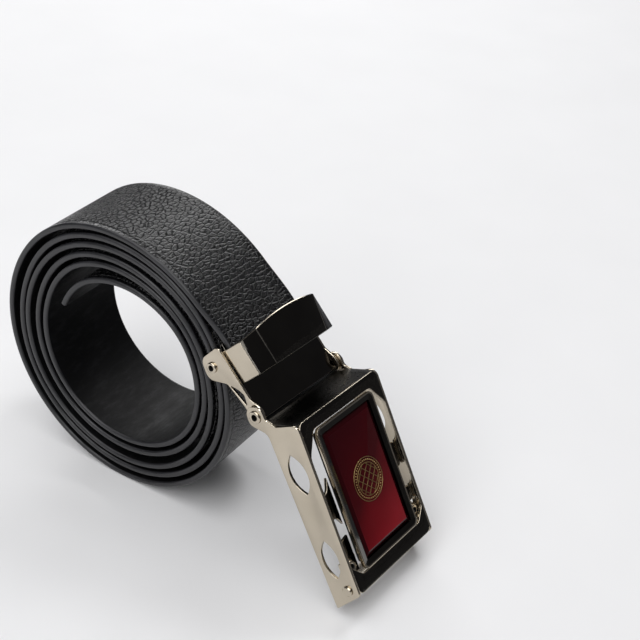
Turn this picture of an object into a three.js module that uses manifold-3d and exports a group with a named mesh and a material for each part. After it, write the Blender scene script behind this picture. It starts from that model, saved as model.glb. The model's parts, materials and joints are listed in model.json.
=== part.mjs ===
// A belt with a clip-on plate buckle, its strap rolled up and standing on edge.
// Millimetres, +Z up. The coil's axis runs along Y and the buckle points to +X.
import * as THREE from 'three';
import Module from 'manifold-3d';
import { mergeVertices } from 'three/addons/utils/BufferGeometryUtils.js';

const wasm = await Module();
wasm.setup();

const DEGREE = Math.PI / 180;

// Strap
const strapWidth = 35;
const strapThickness = 2;
const coilRadius = 50;
const leaveAngle = 49 * DEGREE;
const freeRun = 15;
const looseGap = 4;
const coilEndAngle = 1899 * DEGREE;
const coilStep = 6 * DEGREE;

// How the buckle sits on the strap's end: the clamp's slope, and a slight skew of the whole buckle
const clampPitch = 43 * DEGREE;
const buckleYaw = -3 * DEGREE;
const buckleRoll = -3 * DEGREE;
const buckleDrift = -1.4;

// Clearances
const gap = 0.3;
const sideGap = 0.25;
const strapSideGap = 0.5;
const runningGap = 0.05;

// Clamp
const clampLength = 24.2;
const clampPlate = 1.2;
const clampFront = 1.9;
const earWall = 0.9;
const coverWall = 0.8;
const coverLength = 11.6;
const coverRear = 2.2;
const coverSide = 8.6;
const coverRearRise = 4.2;
const coverFrontRise = 2.5;
const coverCrown = 1;
const coverBow = 2.2;
const coverRearShoulder = 4.3;
const coverFrontShoulder = 5.9;
const coverPinBack = 19.6;
const coverPinDrop = 6.3;
const coverPinRadius = 1.1;
const lugRadius = 3;
const earLobe = 4;
const strapInset = 12.2;

// Frame of the buckle
const frameWall = 1;
const hingePinRadius = 1.2;
const frameEar = 3.4;
const clampEar = 2.9;
const pinHead = 2.1;
const pinHeadThickness = 0.6;
const hingeFoot = 1.65;
const faceStart = 3.9;
const faceLength = 58;
const endSlant = 4.5;
const wallBackTop = 2.4;
const wallBackEnd = 4.4;
const wallFront = 15.4;
const faceThickness = 1.2;
const topBand = 4.2;
const bottomBand = 5.2;
const railLip = 0.7;
const spandrel = 7.5;
const endPlate = 1;
const endPlateDepth = 7;
const endWallFootAngle = 24 * DEGREE;
const lensLength = 13.4;
const lensHeight = 6.8;
const lensRise = 8.9;
const lensPlaces = [0.27, 0.775];
const lockBarRadius = 1.3;

// Bezel and inlay
const bezelWidth = 30.2;
const bezelWall = 2.5;
const bezelProud = 0.6;
const bezelDepth = 5;
const bezelFloor = 1;
const bezelCorner = 2.4;
const pocketCorner = 0.8;
const tabThickness = 1.2;
const tabDrop = 2.4;
const rivetMargin = 0.475;
const rivetHeadThickness = 0.9;
const rivetEnd = 3.2;
const inlayDepth = 3.4;
const inlayBevel = 1.6;
const inlayBevelDrop = 0.7;
const medallionRadius = 7.2;
const medallionThickness = 0.6;
const medallionRing = 0.8;
const latticeBar = 0.45;
const latticePitch = 3;

// Half widths of the nested side walls, counted out from the strap's edge
const coverInner = strapWidth / 2 + strapSideGap;
const coverOuter = coverInner + coverWall;
const earInner = coverOuter + sideGap;
const earOuter = earInner + earWall;
const frameInner = earOuter + gap;
const frameOuter = frameInner + frameWall;

// Heights above the hinge pins inside the clamp
const plateTop = clampPlate / 2;
const strapLift = plateTop + gap + strapThickness / 2;
const coverBottom = plateTop + gap;
const foldHeight = coverBottom + coverSide;

const frameEndFront = faceStart + faceLength;
const frameEndBack = frameEndFront + endSlant;

// The turns of the coil. Stations run round one turn from where the strap leaves the coil; the
// outer turn's middle line is a share of coilRadius, and each later turn adds a share of looseGap.
const stationAngles = [0, 63, 111, 176, 236, 316].map((angle) => angle * DEGREE);
const outerTurn = [0.97, 0.99, 0.955, 0.93, 0.925, 0.88];
const turnGaps = [
  [0.18, 0.33, 0.7, 0.55, 0.5, 0.1],
  [0.1, 0.3, 0.13, 0.23, 0.3, 0.55],
  [0.55, 0.35, 0.6, 0.78, 0.8, 0.1],
  [0.1, 0.33, 0.33, 0.38, 0.4, 0.2],
  [0.4, 0.98, 1.08, 1.1, 1.1, 1.1],
];

const materials = {
  leather: new THREE.MeshStandardMaterial({ color: 0x1b1b1d, roughness: 0.55, metalness: 0 }),
  blackNickel: new THREE.MeshStandardMaterial({ color: 0x34332f, roughness: 0.2, metalness: 1 }),
  nickel: new THREE.MeshStandardMaterial({ color: 0xa39a8c, roughness: 0.22, metalness: 1 }),
  glass: new THREE.MeshStandardMaterial({ color: 0x6d0713, roughness: 0.08, metalness: 0 }),
  gold: new THREE.MeshStandardMaterial({ color: 0xb08a4a, roughness: 0.3, metalness: 1 }),
};

function toSolid(geometry) {
  const plain = geometry.index ? geometry.toNonIndexed() : geometry.clone();
  plain.deleteAttribute('normal');
  plain.deleteAttribute('uv');
  const merged = mergeVertices(plain, 1e-4);
  return new wasm.Manifold(new wasm.Mesh({
    numProp: 3,
    vertProperties: Float32Array.from(merged.attributes.position.array),
    triVerts: Uint32Array.from(merged.index.array),
  }));
}

function toGeometry(solid) {
  const mesh = solid.getMesh();
  const geometry = new THREE.BufferGeometry();
  const positions = new Float32Array(mesh.numVert * 3);
  for (let i = 0; i < mesh.numVert; i += 1) {
    for (let k = 0; k < 3; k += 1) {
      positions[i * 3 + k] = mesh.vertProperties[i * mesh.numProp + k];
    }
  }
  geometry.setAttribute('position', new THREE.BufferAttribute(positions, 3));
  geometry.setIndex(new THREE.BufferAttribute(Uint32Array.from(mesh.triVerts), 1));
  geometry.computeVertexNormals();
  return geometry;
}

function join(...geometries) {
  return toGeometry(geometries.map(toSolid).reduce((sum, solid) => sum.add(solid)));
}

function cut(geometry, ...tools) {
  return toGeometry(tools.map(toSolid).reduce((rest, tool) => rest.subtract(tool), toSolid(geometry)));
}

function named(name, geometry, material) {
  const mesh = new THREE.Mesh(geometry, material);
  mesh.name = name;
  return mesh;
}

function polygon(points) {
  return new THREE.Shape(points.map(([x, y]) => new THREE.Vector2(x, y)));
}

function extrude(shape, depth, curveSegments = 10) {
  return new THREE.ExtrudeGeometry(shape, { depth, bevelEnabled: false, curveSegments });
}

// A plate that lies in the face: its shape is drawn in X and Y, and it is as thick as given from low
function facePlate(shape, thickness, low) {
  return extrude(shape, thickness).translate(0, 0, low);
}

// A plate that stands on edge: its shape is drawn in X and Z, and it fills from y to y + thickness
function sidePlate(shape, thickness, y) {
  return extrude(shape, thickness).rotateX(Math.PI / 2).translate(0, y + thickness, 0);
}

// The same plate once on each side, with its outer face at the half width outer
function pairOfPlates(shape, thickness, outer) {
  return [sidePlate(shape, thickness, -outer), sidePlate(shape, thickness, outer - thickness)];
}

function crossPin(radius, fromY, toY, x, z, segments = 20) {
  const pin = new THREE.CylinderGeometry(radius, radius, toY - fromY, segments);
  return pin.translate(x, (fromY + toY) / 2, z);
}

// The hole for a pin through the side wall at y
function pinHole(pinRadius, y, x, z) {
  return crossPin(pinRadius + runningGap, y - 2 * earWall, y + 2 * earWall, x, z);
}

function box(x0, x1, y0, y1, z0, z1) {
  const block = new THREE.BoxGeometry(x1 - x0, y1 - y0, z1 - z0);
  return block.translate((x0 + x1) / 2, (y0 + y1) / 2, (z0 + z1) / 2);
}

function roundedRect(x0, x1, halfWidth, radius) {
  const shape = new THREE.Shape();
  shape.moveTo(x0 + radius, -halfWidth);
  shape.lineTo(x1 - radius, -halfWidth);
  shape.absarc(x1 - radius, -halfWidth + radius, radius, -Math.PI / 2, 0, false);
  shape.lineTo(x1, halfWidth - radius);
  shape.absarc(x1 - radius, halfWidth - radius, radius, 0, Math.PI / 2, false);
  shape.lineTo(x0 + radius, halfWidth);
  shape.absarc(x0 + radius, halfWidth - radius, radius, Math.PI / 2, Math.PI, false);
  shape.lineTo(x0, -halfWidth + radius);
  shape.absarc(x0 + radius, -halfWidth + radius, radius, Math.PI, Math.PI * 1.5, false);
  return shape;
}

// A closed skin over rings of points, with a flat cap on the first ring and on the last
function loft(rings) {
  const count = rings[0].length;
  const positions = [];
  const indices = [];
  rings.forEach((ring) => ring.forEach((point) => positions.push(point.x, point.y, point.z)));
  for (let i = 0; i + 1 < rings.length; i += 1) {
    for (let k = 0; k < count; k += 1) {
      const a = i * count + k;
      const b = i * count + ((k + 1) % count);
      indices.push(a, b, b + count, a, b + count, a + count);
    }
  }
  const last = (rings.length - 1) * count;
  capTriangles(rings[0]).forEach(([a, b, c]) => indices.push(c, b, a));
  capTriangles(rings[rings.length - 1]).forEach(([a, b, c]) => indices.push(last + a, last + b, last + c));
  const geometry = new THREE.BufferGeometry();
  geometry.setAttribute('position', new THREE.Float32BufferAttribute(positions, 3));
  geometry.setIndex(indices);
  geometry.computeVertexNormals();
  return geometry;
}

function capTriangles(ring) {
  const across = ring[1].clone().sub(ring[0]).normalize();
  const normal = new THREE.Vector3();
  ring.forEach((point, i) => normal.add(point.clone().cross(ring[(i + 1) % ring.length])));
  const up = normal.normalize().cross(across);
  const flat = ring.map((point) => new THREE.Vector2(point.dot(across), point.dot(up)));
  return THREE.ShapeUtils.triangulateShape(flat, []);
}

// The middle line's radius at each station of a turn
function stationRadius(turn, station) {
  let radius = outerTurn[station] * coilRadius;
  for (let i = 0; i < turn; i += 1) {
    radius -= strapThickness + turnGaps[i][station] * looseGap;
  }
  return radius;
}

function stationTable() {
  const table = [];
  for (let turn = 0; turn <= turnGaps.length; turn += 1) {
    stationAngles.forEach((angle, station) => {
      table.push({ angle: angle + turn * 2 * Math.PI, radius: stationRadius(turn, station) });
    });
  }
  return table;
}

const coilTable = stationTable();

// A smooth curve through the stations' radii
function coilRadiusAt(angle) {
  let i = 0;
  while (i + 2 < coilTable.length && coilTable[i + 1].angle <= angle) i += 1;
  const slope = (k) => {
    if (k === 0 || k === coilTable.length - 1) return 0;
    const before = coilTable[k - 1];
    const after = coilTable[k + 1];
    return (after.radius - before.radius) / (after.angle - before.angle);
  };
  const from = coilTable[i];
  const to = coilTable[i + 1];
  const span = to.angle - from.angle;
  const t = (angle - from.angle) / span;
  return from.radius * (1 + 2 * t) * (1 - t) ** 2 + to.radius * t * t * (3 - 2 * t)
    + slope(i) * span * t * (1 - t) ** 2 - slope(i + 1) * span * t * t * (1 - t);
}

function coilPoint(angle) {
  const radius = coilRadiusAt(angle);
  return new THREE.Vector3(radius * Math.cos(leaveAngle + angle), 0, radius * Math.sin(leaveAngle + angle));
}

function coilBottom() {
  let low = 0;
  for (let angle = 0; angle < 2 * Math.PI; angle += coilStep) {
    const point = coilPoint(angle);
    const out = point.clone().normalize().multiplyScalar(strapThickness / 2);
    low = Math.min(low, point.z + out.z);
  }
  return low;
}

const coilHeight = -coilBottom();
const leavePitch = Math.PI / 2 - leaveAngle;
const along = (pitch) => new THREE.Vector3(Math.cos(pitch), 0, -Math.sin(pitch));
const above = (pitch) => new THREE.Vector3(Math.sin(pitch), 0, Math.cos(pitch));

// The middle of the hinge pins, and the buckle's own frame there
const hingeCentre = coilPoint(0)
  .addScaledVector(along((leavePitch + clampPitch) / 2), freeRun)
  .addScaledVector(along(clampPitch), clampLength)
  .addScaledVector(above(clampPitch), -strapLift)
  .add(new THREE.Vector3(0, buckleDrift, coilHeight));

const buckle = new THREE.Group();
buckle.position.copy(hingeCentre);
buckle.rotation.set(buckleRoll, 0, buckleYaw, 'ZXY');

// The frame leans until the back corner of its lower side stands on the floor
function framePitch() {
  const corner = Math.hypot(frameEndBack, wallBackEnd);
  const drop = hingeCentre.z / Math.cos(buckleRoll) - frameOuter * Math.tan(Math.abs(buckleRoll));
  return Math.asin(Math.min(drop / corner, 1)) + Math.atan2(wallBackEnd, frameEndBack);
}

const clamp = new THREE.Group();
clamp.rotation.y = clampPitch;
buckle.add(clamp);

const frame = new THREE.Group();
frame.rotation.y = framePitch();
buckle.add(frame);

// One cross section of the strap, as the four corners of a rectangle
function strapRing(centre, side, out) {
  const halfWidth = strapWidth / 2;
  const halfThickness = strapThickness / 2;
  return [[-1, -1], [1, -1], [1, 1], [-1, 1]].map(([across, up]) => centre.clone()
    .addScaledVector(side, across * halfWidth).addScaledVector(out, up * halfThickness));
}

function coilRings() {
  const rings = [];
  const steps = Math.round(coilEndAngle / coilStep);
  for (let i = steps; i >= 0; i -= 1) {
    const angle = (i / steps) * coilEndAngle;
    const point = coilPoint(angle);
    const ahead = coilPoint(Math.max(angle - 0.01, 0));
    const behind = coilPoint(Math.min(angle + 0.01, coilEndAngle));
    const run = ahead.sub(behind).normalize();
    const out = new THREE.Vector3(-run.z, 0, run.x);
    point.z += coilHeight;
    rings.push(strapRing(point, new THREE.Vector3(0, 1, 0), out));
  }
  return rings;
}

// From the coil the strap turns a little to meet the clamp, and ends inside it
function runRings() {
  buckle.updateMatrixWorld(true);
  const toWorld = clamp.matrixWorld;
  const turn = new THREE.Quaternion().setFromRotationMatrix(toWorld);
  const side = new THREE.Vector3(0, 1, 0).applyQuaternion(turn);
  const clampRun = new THREE.Vector3(1, 0, 0).applyQuaternion(turn);
  const entry = new THREE.Vector3(-clampLength, 0, strapLift).applyMatrix4(toWorld);
  const end = new THREE.Vector3(-strapInset, 0, strapLift).applyMatrix4(toWorld);
  const start = coilPoint(0).add(new THREE.Vector3(0, 0, coilHeight));
  const startRun = along(leavePitch);
  const curve = new THREE.CubicBezierCurve3(
    start,
    start.clone().addScaledVector(startRun, freeRun / 3),
    entry.clone().addScaledVector(clampRun, -freeRun / 3),
    entry,
  );
  const rings = [];
  const steps = 5;
  for (let i = 1; i <= steps; i += 1) {
    const share = i / steps;
    const ringSide = new THREE.Vector3(0, 1, 0).lerp(side, share).normalize();
    const out = curve.getTangent(share).cross(ringSide).normalize();
    rings.push(strapRing(curve.getPoint(share), ringSide, out));
  }
  rings.push(strapRing(end, side, clampRun.clone().cross(side).normalize()));
  return rings;
}

function makeStrap() {
  return named('strap', loft([...coilRings(), ...runRings()]), materials.leather);
}

function clampEarShape() {
  const rear = -clampLength;
  const pinX = -coverPinBack;
  const pinZ = -coverPinDrop;
  const shape = new THREE.Shape();
  shape.moveTo(rear, plateTop);
  shape.lineTo(pinX - earLobe, pinZ);
  shape.absarc(pinX, pinZ, earLobe, Math.PI, Math.PI * 1.78, false);
  shape.lineTo(pinX + earLobe * 1.5, pinZ + earLobe * 0.35);
  shape.lineTo(0, -clampEar);
  shape.absarc(0, 0, clampEar, -Math.PI / 2, Math.PI * 0.6, false);
  shape.lineTo(-clampEar * 1.6, plateTop);
  shape.closePath();
  shape.holes.push(new THREE.Path([
    new THREE.Vector2(-clampEar * 3.9, -plateTop - coverPinDrop * 0.42),
    new THREE.Vector2(-clampEar * 1.5, -plateTop - coverPinDrop * 0.16),
    new THREE.Vector2(-clampEar * 2.7, -plateTop - coverPinDrop * 0.05),
  ]));
  return shape;
}

function makeClampBase() {
  const ears = pairOfPlates(clampEarShape(), earWall, earOuter);
  const slotFront = -coverPinBack + lugRadius + 2 * gap;
  const overlap = earWall / 2;
  const wide = box(slotFront, clampFront, -earInner - overlap, earInner + overlap, -plateTop, plateTop);
  const narrow = box(-clampLength, slotFront + overlap, -coverInner, coverInner, -plateTop, plateTop);
  const pinHoles = [-1, 1].flatMap((side) => [
    pinHole(coverPinRadius, side * earOuter, -coverPinBack, -coverPinDrop),
    pinHole(hingePinRadius, side * earOuter, 0, 0),
  ]);
  const hingeRelief = [-1, 1].map((side) => box(
    -hingeFoot - gap, Math.max(clampFront, hingeFoot) + gap,
    Math.min(side * (earInner - pinHeadThickness - gap), side * earInner),
    Math.max(side * (earInner - pinHeadThickness - gap), side * earInner),
    -plateTop - gap, plateTop + gap,
  ));
  return named('clamp_base', cut(join(...ears, wide, narrow), ...pinHoles, ...hingeRelief), materials.nickel);
}

// Half of the cover's outline at one end, from the foot of its side wall up to the crown
function coverOutline(shoulderIn, rise, crown, inset) {
  const outer = coverOuter - inset;
  const points = [
    [outer, coverBottom],
    [outer, foldHeight - inset * 0.6],
    [outer - shoulderIn, foldHeight + rise - inset],
    [0, foldHeight + rise + crown - inset],
  ];
  const mirrored = points.slice(0, -1).reverse().map(([y, z]) => [-y, z]);
  return [...points, ...mirrored];
}

// One end of the cover; its edge bows out by bow at the middle and not at all at the side walls
function coverRing(x, shoulderIn, rise, crown, bow) {
  const outer = coverOutline(shoulderIn, rise, crown, 0);
  const inner = coverOutline(shoulderIn, rise, crown, coverWall).reverse();
  const bowAt = (y) => bow * Math.max(1 - (y / (coverOuter - coverWall)) ** 2, 0);
  return [...outer, ...inner].map(([y, z]) => new THREE.Vector3(x - bowAt(y), y, z));
}

function makeClampCover() {
  const rear = -clampLength + coverRear;
  const front = rear + coverLength;
  const shell = loft([
    coverRing(rear, coverRearShoulder, coverRearRise, coverCrown, coverBow),
    coverRing(front, coverFrontShoulder, coverFrontRise, coverCrown * 0.3, 0),
  ]);
  const lug = new THREE.Shape();
  lug.moveTo(-coverPinBack + lugRadius, -coverPinDrop);
  lug.lineTo(-coverPinBack + lugRadius, coverBottom + coverWall);
  lug.lineTo(Math.max(-coverPinBack - lugRadius, rear), coverBottom + coverWall);
  lug.lineTo(-coverPinBack - lugRadius, -coverPinDrop);
  lug.absarc(-coverPinBack, -coverPinDrop, lugRadius, Math.PI, Math.PI * 2, false);
  const lugs = pairOfPlates(lug, coverWall, coverOuter);
  const jawFoot = strapLift + strapThickness / 2 + gap;
  const jaw = box(front - coverWall, front, -coverInner - coverWall / 2, coverInner + coverWall / 2,
    jawFoot, foldHeight - coverWall / 2);
  const pinHoles = [-1, 1].map((side) => pinHole(
    coverPinRadius, side * coverOuter, -coverPinBack, -coverPinDrop,
  ));
  return named('clamp_cover', cut(join(shell, jaw, ...lugs), ...pinHoles), materials.blackNickel);
}

// A pin that runs through two side walls, with a round head outside them and a small foot inside
function headedPin(radius, side, outerFace, innerFace, x, z) {
  const span = (from, to) => [Math.min(side * from, side * to), Math.max(side * from, side * to)];
  const outer = outerFace + runningGap;
  const inner = innerFace - runningGap;
  const overlap = runningGap;
  const shaft = crossPin(radius, ...span(inner - overlap, outer + overlap), x, z);
  const head = crossPin(pinHead, ...span(outer, outer + pinHeadThickness), x, z);
  return { shaft, head, inner, span };
}

function makeCoverPin(name, side) {
  const { shaft, head } = headedPin(coverPinRadius, side, earOuter, coverInner, -coverPinBack, -coverPinDrop);
  return named(name, join(shaft, head), materials.nickel);
}

function makeHingePin(name, side) {
  const { shaft, head, inner, span } = headedPin(hingePinRadius, side, frameOuter, earInner, 0, 0);
  const foot = crossPin(hingeFoot, ...span(inner - pinHeadThickness, inner), 0, 0);
  return named(name, join(shaft, head, foot), materials.nickel);
}

function wallShape() {
  const shape = new THREE.Shape();
  shape.moveTo(frameEar * 0.77, -frameEar * 0.64);
  shape.lineTo(faceStart + frameWall * 2.4, wallBackTop);
  shape.lineTo(frameEndBack, wallBackEnd);
  shape.lineTo(frameEndFront, wallFront - faceThickness);
  shape.lineTo(frameEndFront - faceThickness, wallFront);
  shape.lineTo(faceStart + faceThickness * 1.8, wallFront);
  shape.quadraticCurveTo(faceStart, wallFront, faceStart, wallFront - faceThickness * 2);
  shape.lineTo(faceStart, frameEar * 1.95);
  shape.quadraticCurveTo(faceStart - 0.2, frameEar * 1.6, frameEar * 0.5, frameEar * 1.1);
  shape.lineTo(0, frameEar);
  shape.absarc(0, 0, frameEar, Math.PI / 2, Math.PI * 1.78, false);
  lensPlaces.forEach((share) => {
    const lens = new THREE.Path();
    const middle = faceStart + share * faceLength;
    lens.absellipse(middle, lensRise, lensLength / 2, lensHeight / 2, 0, Math.PI * 2, true);
    shape.holes.push(lens);
  });
  return shape;
}

// The face of the frame: a band at each end that runs into the side rails in curves
function faceShape() {
  const shape = roundedRect(faceStart, frameEndFront, frameOuter - frameWall / 2, bezelCorner);
  const rail = frameInner - railLip;
  const low = faceStart + topBand;
  const high = frameEndFront - bottomBand;
  const flat = bezelWidth / 2;
  const hole = new THREE.Path();
  hole.moveTo(low, -flat);
  hole.quadraticCurveTo(low, -rail, low + spandrel, -rail);
  hole.lineTo(high - spandrel / 2, -rail);
  hole.quadraticCurveTo(high, -rail, high, -flat);
  hole.lineTo(high, flat);
  hole.quadraticCurveTo(high, rail, high - spandrel / 2, rail);
  hole.lineTo(low + spandrel, rail);
  hole.quadraticCurveTo(low, rail, low, flat);
  shape.holes.push(hole);
  return shape;
}

const bezelTop = wallFront + bezelProud;
const bezelBase = bezelTop - bezelDepth;
const bezelStart = faceStart + topBand + gap;
const bezelEnd = frameEndFront - bottomBand - gap;
const tabTop = wallFront - tabDrop;
const rivetX = bezelEnd - rivetEnd;
const rivetY = (bezelWidth / 2 + frameInner) / 2 + railLip / 2;
const rivetHead = (frameInner - bezelWidth / 2) / 2 - rivetMargin;
const rivetShaft = rivetHead * 0.48;
const shelfTop = tabTop - tabThickness - gap;
const lockBarX = frameEndFront - lockBarRadius * 1.5;
const lockBarZ = wallFront - lockBarRadius * 3.1;

const endWallTop = wallFront - faceThickness / 2;
const endWallFoot = Math.hypot(clampFront, plateTop) + 1.5 * gap;
const endWallFootX = endWallFoot * Math.cos(endWallFootAngle);
const endWallFootZ = endWallFoot * Math.sin(endWallFootAngle);

// The wall at the frame's top end leans from the face band down to a foot that clears the clamp's plate
function endWallShape(low) {
  const start = faceStart + gap;
  const at = (z) => THREE.MathUtils.mapLinear(z, endWallFootZ, endWallTop, endWallFootX, start);
  return polygon([
    [at(low), low],
    [at(low) + endPlate, low],
    [start + endPlate, endWallTop],
    [start, endWallTop],
  ]);
}

function makeFrame() {
  const walls = pairOfPlates(wallShape(), frameWall, frameOuter);
  const face = facePlate(faceShape(), faceThickness, wallFront - faceThickness);
  const half = frameInner + frameWall / 2;
  const foot = earInner - gap;
  const topEnd = [
    sidePlate(endWallShape(endWallFootZ), 2 * foot, -foot),
    sidePlate(endWallShape(clampEar + 2 * gap), 2 * half, -half),
  ];
  const bottomFace = lockBarX - lockBarRadius - 2 * gap;
  const bottomLow = wallFront - endPlateDepth;
  const bottomEnd = box(bottomFace - endPlate, bottomFace, -half, half, bottomLow, endWallTop);
  const shelfIn = rivetY - rivetHead * 0.9;
  const shelves = [[shelfIn, half], [-half, -shelfIn]].map(([from, to]) => box(
    rivetX - rivetHead, rivetX + rivetHead, from, to, shelfTop - endPlate, shelfTop,
  ));
  const sideHoles = [-1, 1].flatMap((side) => [
    pinHole(hingePinRadius, side * frameOuter, 0, 0),
    pinHole(lockBarRadius, side * frameOuter, lockBarX, lockBarZ),
  ]);
  const rivetHoles = [-1, 1].map((side) => rivetBore(side));
  const body = join(face, ...topEnd, bottomEnd, ...walls, ...shelves);
  return named('frame', cut(body, ...sideHoles, ...rivetHoles), materials.nickel);
}

function rivetBore(side) {
  const bore = new THREE.CylinderGeometry(rivetShaft + gap, rivetShaft + gap, bezelDepth * 2, 16);
  return bore.rotateX(Math.PI / 2).translate(rivetX, side * rivetY, tabTop);
}

function makeRivet(name, side) {
  const head = new THREE.CylinderGeometry(rivetHead * 0.75, rivetHead, rivetHeadThickness, 16);
  const foot = new THREE.CylinderGeometry(rivetShaft + 2 * gap, rivetShaft + 2 * gap, rivetHeadThickness, 16);
  const headLow = tabTop + gap;
  const footTop = shelfTop - endPlate - gap;
  const length = headLow - footTop + rivetHeadThickness;
  const shaft = new THREE.CylinderGeometry(rivetShaft, rivetShaft, length, 16);
  head.rotateX(Math.PI / 2).translate(0, 0, headLow + rivetHeadThickness / 2);
  foot.rotateX(Math.PI / 2).translate(0, 0, footTop - rivetHeadThickness / 2);
  shaft.rotateX(Math.PI / 2).translate(0, 0, (headLow + footTop) / 2);
  return named(name, join(head, foot, shaft).translate(rivetX, side * rivetY, 0), materials.nickel);
}

// The bezel's side tabs: a scrolled bridge, a plain block and the rivet's ear
function tabShapes(side) {
  const length = bezelEnd - bezelStart;
  const at = (share) => bezelStart + share * length;
  const inner = side * (bezelWidth / 2 - 0.5);
  const outer = side * (frameInner - gap);
  const middle = side * ((bezelWidth / 2 + frameInner) / 2);
  const scroll = new THREE.Shape();
  scroll.moveTo(at(0.34), inner);
  scroll.quadraticCurveTo(at(0.45), middle, at(0.4), outer);
  scroll.lineTo(at(0.62), outer);
  scroll.quadraticCurveTo(at(0.52), middle, at(0.63), inner);
  scroll.closePath();
  const block = polygon([[at(0.74), inner], [at(0.77), outer], [at(0.86), outer], [at(0.88), inner]]);
  const ear = new THREE.Shape();
  ear.moveTo(rivetX - rivetHead * 1.2, inner);
  ear.lineTo(rivetX - rivetHead, outer);
  ear.lineTo(rivetX + rivetHead, outer);
  ear.lineTo(rivetX + rivetHead * 1.2, inner);
  ear.closePath();
  return [scroll, block, ear];
}

function makeBezel() {
  const outline = roundedRect(bezelStart, bezelEnd, bezelWidth / 2, bezelCorner);
  const block = facePlate(outline, bezelDepth, bezelBase);
  const halfPocket = bezelWidth / 2 - bezelWall;
  const inside = roundedRect(bezelStart + bezelWall, bezelEnd - bezelWall, halfPocket, pocketCorner);
  const pocket = facePlate(inside, bezelDepth, bezelBase + bezelFloor);
  const tabs = [-1, 1].flatMap((side) => tabShapes(side).map(
    (shape) => facePlate(shape, tabThickness, tabTop - tabThickness),
  ));
  const tongueTop = wallFront - faceThickness - gap;
  const tongueHalf = bezelWidth / 3;
  const tongue = box(faceStart + gap * 2 + endPlate, bezelStart + bezelWall / 2, -tongueHalf, tongueHalf,
    tongueTop - tabThickness, tongueTop);
  const body = join(block, tongue, ...tabs);
  return named('bezel', cut(body, pocket, rivetBore(-1), rivetBore(1)), materials.blackNickel);
}

const inlayLow = bezelBase + bezelFloor + gap;
const inlayTop = inlayLow + inlayDepth;
const inlayMiddle = (bezelStart + bezelEnd) / 2;

function rectRing(halfLength, halfWidth, z) {
  return [[-1, -1], [1, -1], [1, 1], [-1, 1]].map(
    ([a, b]) => new THREE.Vector3(inlayMiddle + a * halfLength, b * halfWidth, z),
  );
}

function makeInlay() {
  const halfLength = (bezelEnd - bezelStart) / 2 - bezelWall - gap;
  const halfWidth = bezelWidth / 2 - bezelWall - gap;
  const body = loft([
    rectRing(halfLength, halfWidth, inlayLow),
    rectRing(halfLength, halfWidth, inlayTop - inlayBevelDrop),
    rectRing(halfLength - inlayBevel, halfWidth - inlayBevel, inlayTop),
  ]);
  const seat = medallionRadius + gap;
  const recess = new THREE.CylinderGeometry(seat, seat, 2 * medallionThickness, 48);
  recess.rotateX(Math.PI / 2).translate(inlayMiddle, 0, inlayTop);
  return named('inlay', cut(body, recess), materials.glass);
}

// A plain round ornament: a ring filled with a lattice of crossing bars, on a thin back plate
function makeMedallion() {
  const low = inlayTop - medallionThickness + gap;
  const plate = new THREE.CylinderGeometry(medallionRadius, medallionRadius, medallionThickness / 2, 48);
  plate.rotateX(Math.PI / 2).translate(0, 0, low + medallionThickness / 4);
  const ringShape = new THREE.Shape();
  ringShape.absarc(0, 0, medallionRadius, 0, Math.PI * 2, false);
  const ringHole = new THREE.Path();
  ringHole.absarc(0, 0, medallionRadius - medallionRing, 0, Math.PI * 2, true);
  ringShape.holes.push(ringHole);
  const ring = facePlate(ringShape, medallionThickness, low);
  const reach = medallionRadius - medallionRing / 2;
  const rows = Math.floor(reach / latticePitch);
  const bars = [];
  for (let row = -rows; row <= rows; row += 1) {
    const middle = row * latticePitch;
    const half = Math.sqrt(reach ** 2 - middle ** 2);
    [1, -1].forEach((turn) => bars.push(box(
      -half, half, middle - latticeBar / 2, middle + latticeBar / 2, low, low + medallionThickness * 0.9,
    ).rotateZ(turn * Math.PI / 4)));
  }
  return named('medallion', join(plate, ring, ...bars).translate(inlayMiddle, 0, 0), materials.gold);
}

function makeLockBar() {
  const bar = crossPin(lockBarRadius, -frameOuter - runningGap, frameOuter + runningGap, lockBarX, lockBarZ);
  const heads = [-1, 1].map((side) => {
    const near = side * (frameOuter + runningGap);
    const far = side * (frameOuter + runningGap + pinHeadThickness);
    return crossPin(lockBarRadius * 1.35, Math.min(near, far), Math.max(near, far), lockBarX, lockBarZ);
  });
  return named('lock_bar', join(bar, ...heads), materials.nickel);
}

clamp.add(makeClampBase(), makeClampCover());
clamp.add(makeCoverPin('cover_pin_left', -1), makeCoverPin('cover_pin_right', 1));
clamp.add(makeHingePin('hinge_pin_left', -1), makeHingePin('hinge_pin_right', 1));
frame.add(makeFrame(), makeBezel(), makeInlay(), makeMedallion(), makeLockBar());
frame.add(makeRivet('rivet_left', -1), makeRivet('rivet_right', 1));

const belt = new THREE.Group();
belt.add(makeStrap(), buckle);

// Stand the whole on the floor with the origin under the middle of its box
belt.updateMatrixWorld(true);
const bounds = new THREE.Box3().setFromObject(belt, true);
belt.position.set(-(bounds.min.x + bounds.max.x) / 2, -(bounds.min.y + bounds.max.y) / 2, -bounds.min.z);

const group = new THREE.Group();
group.add(belt);

export default group;
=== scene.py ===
import json
import math

import bpy
from mathutils import Matrix, Vector
from mathutils.geometry import tessellate_polygon


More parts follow.
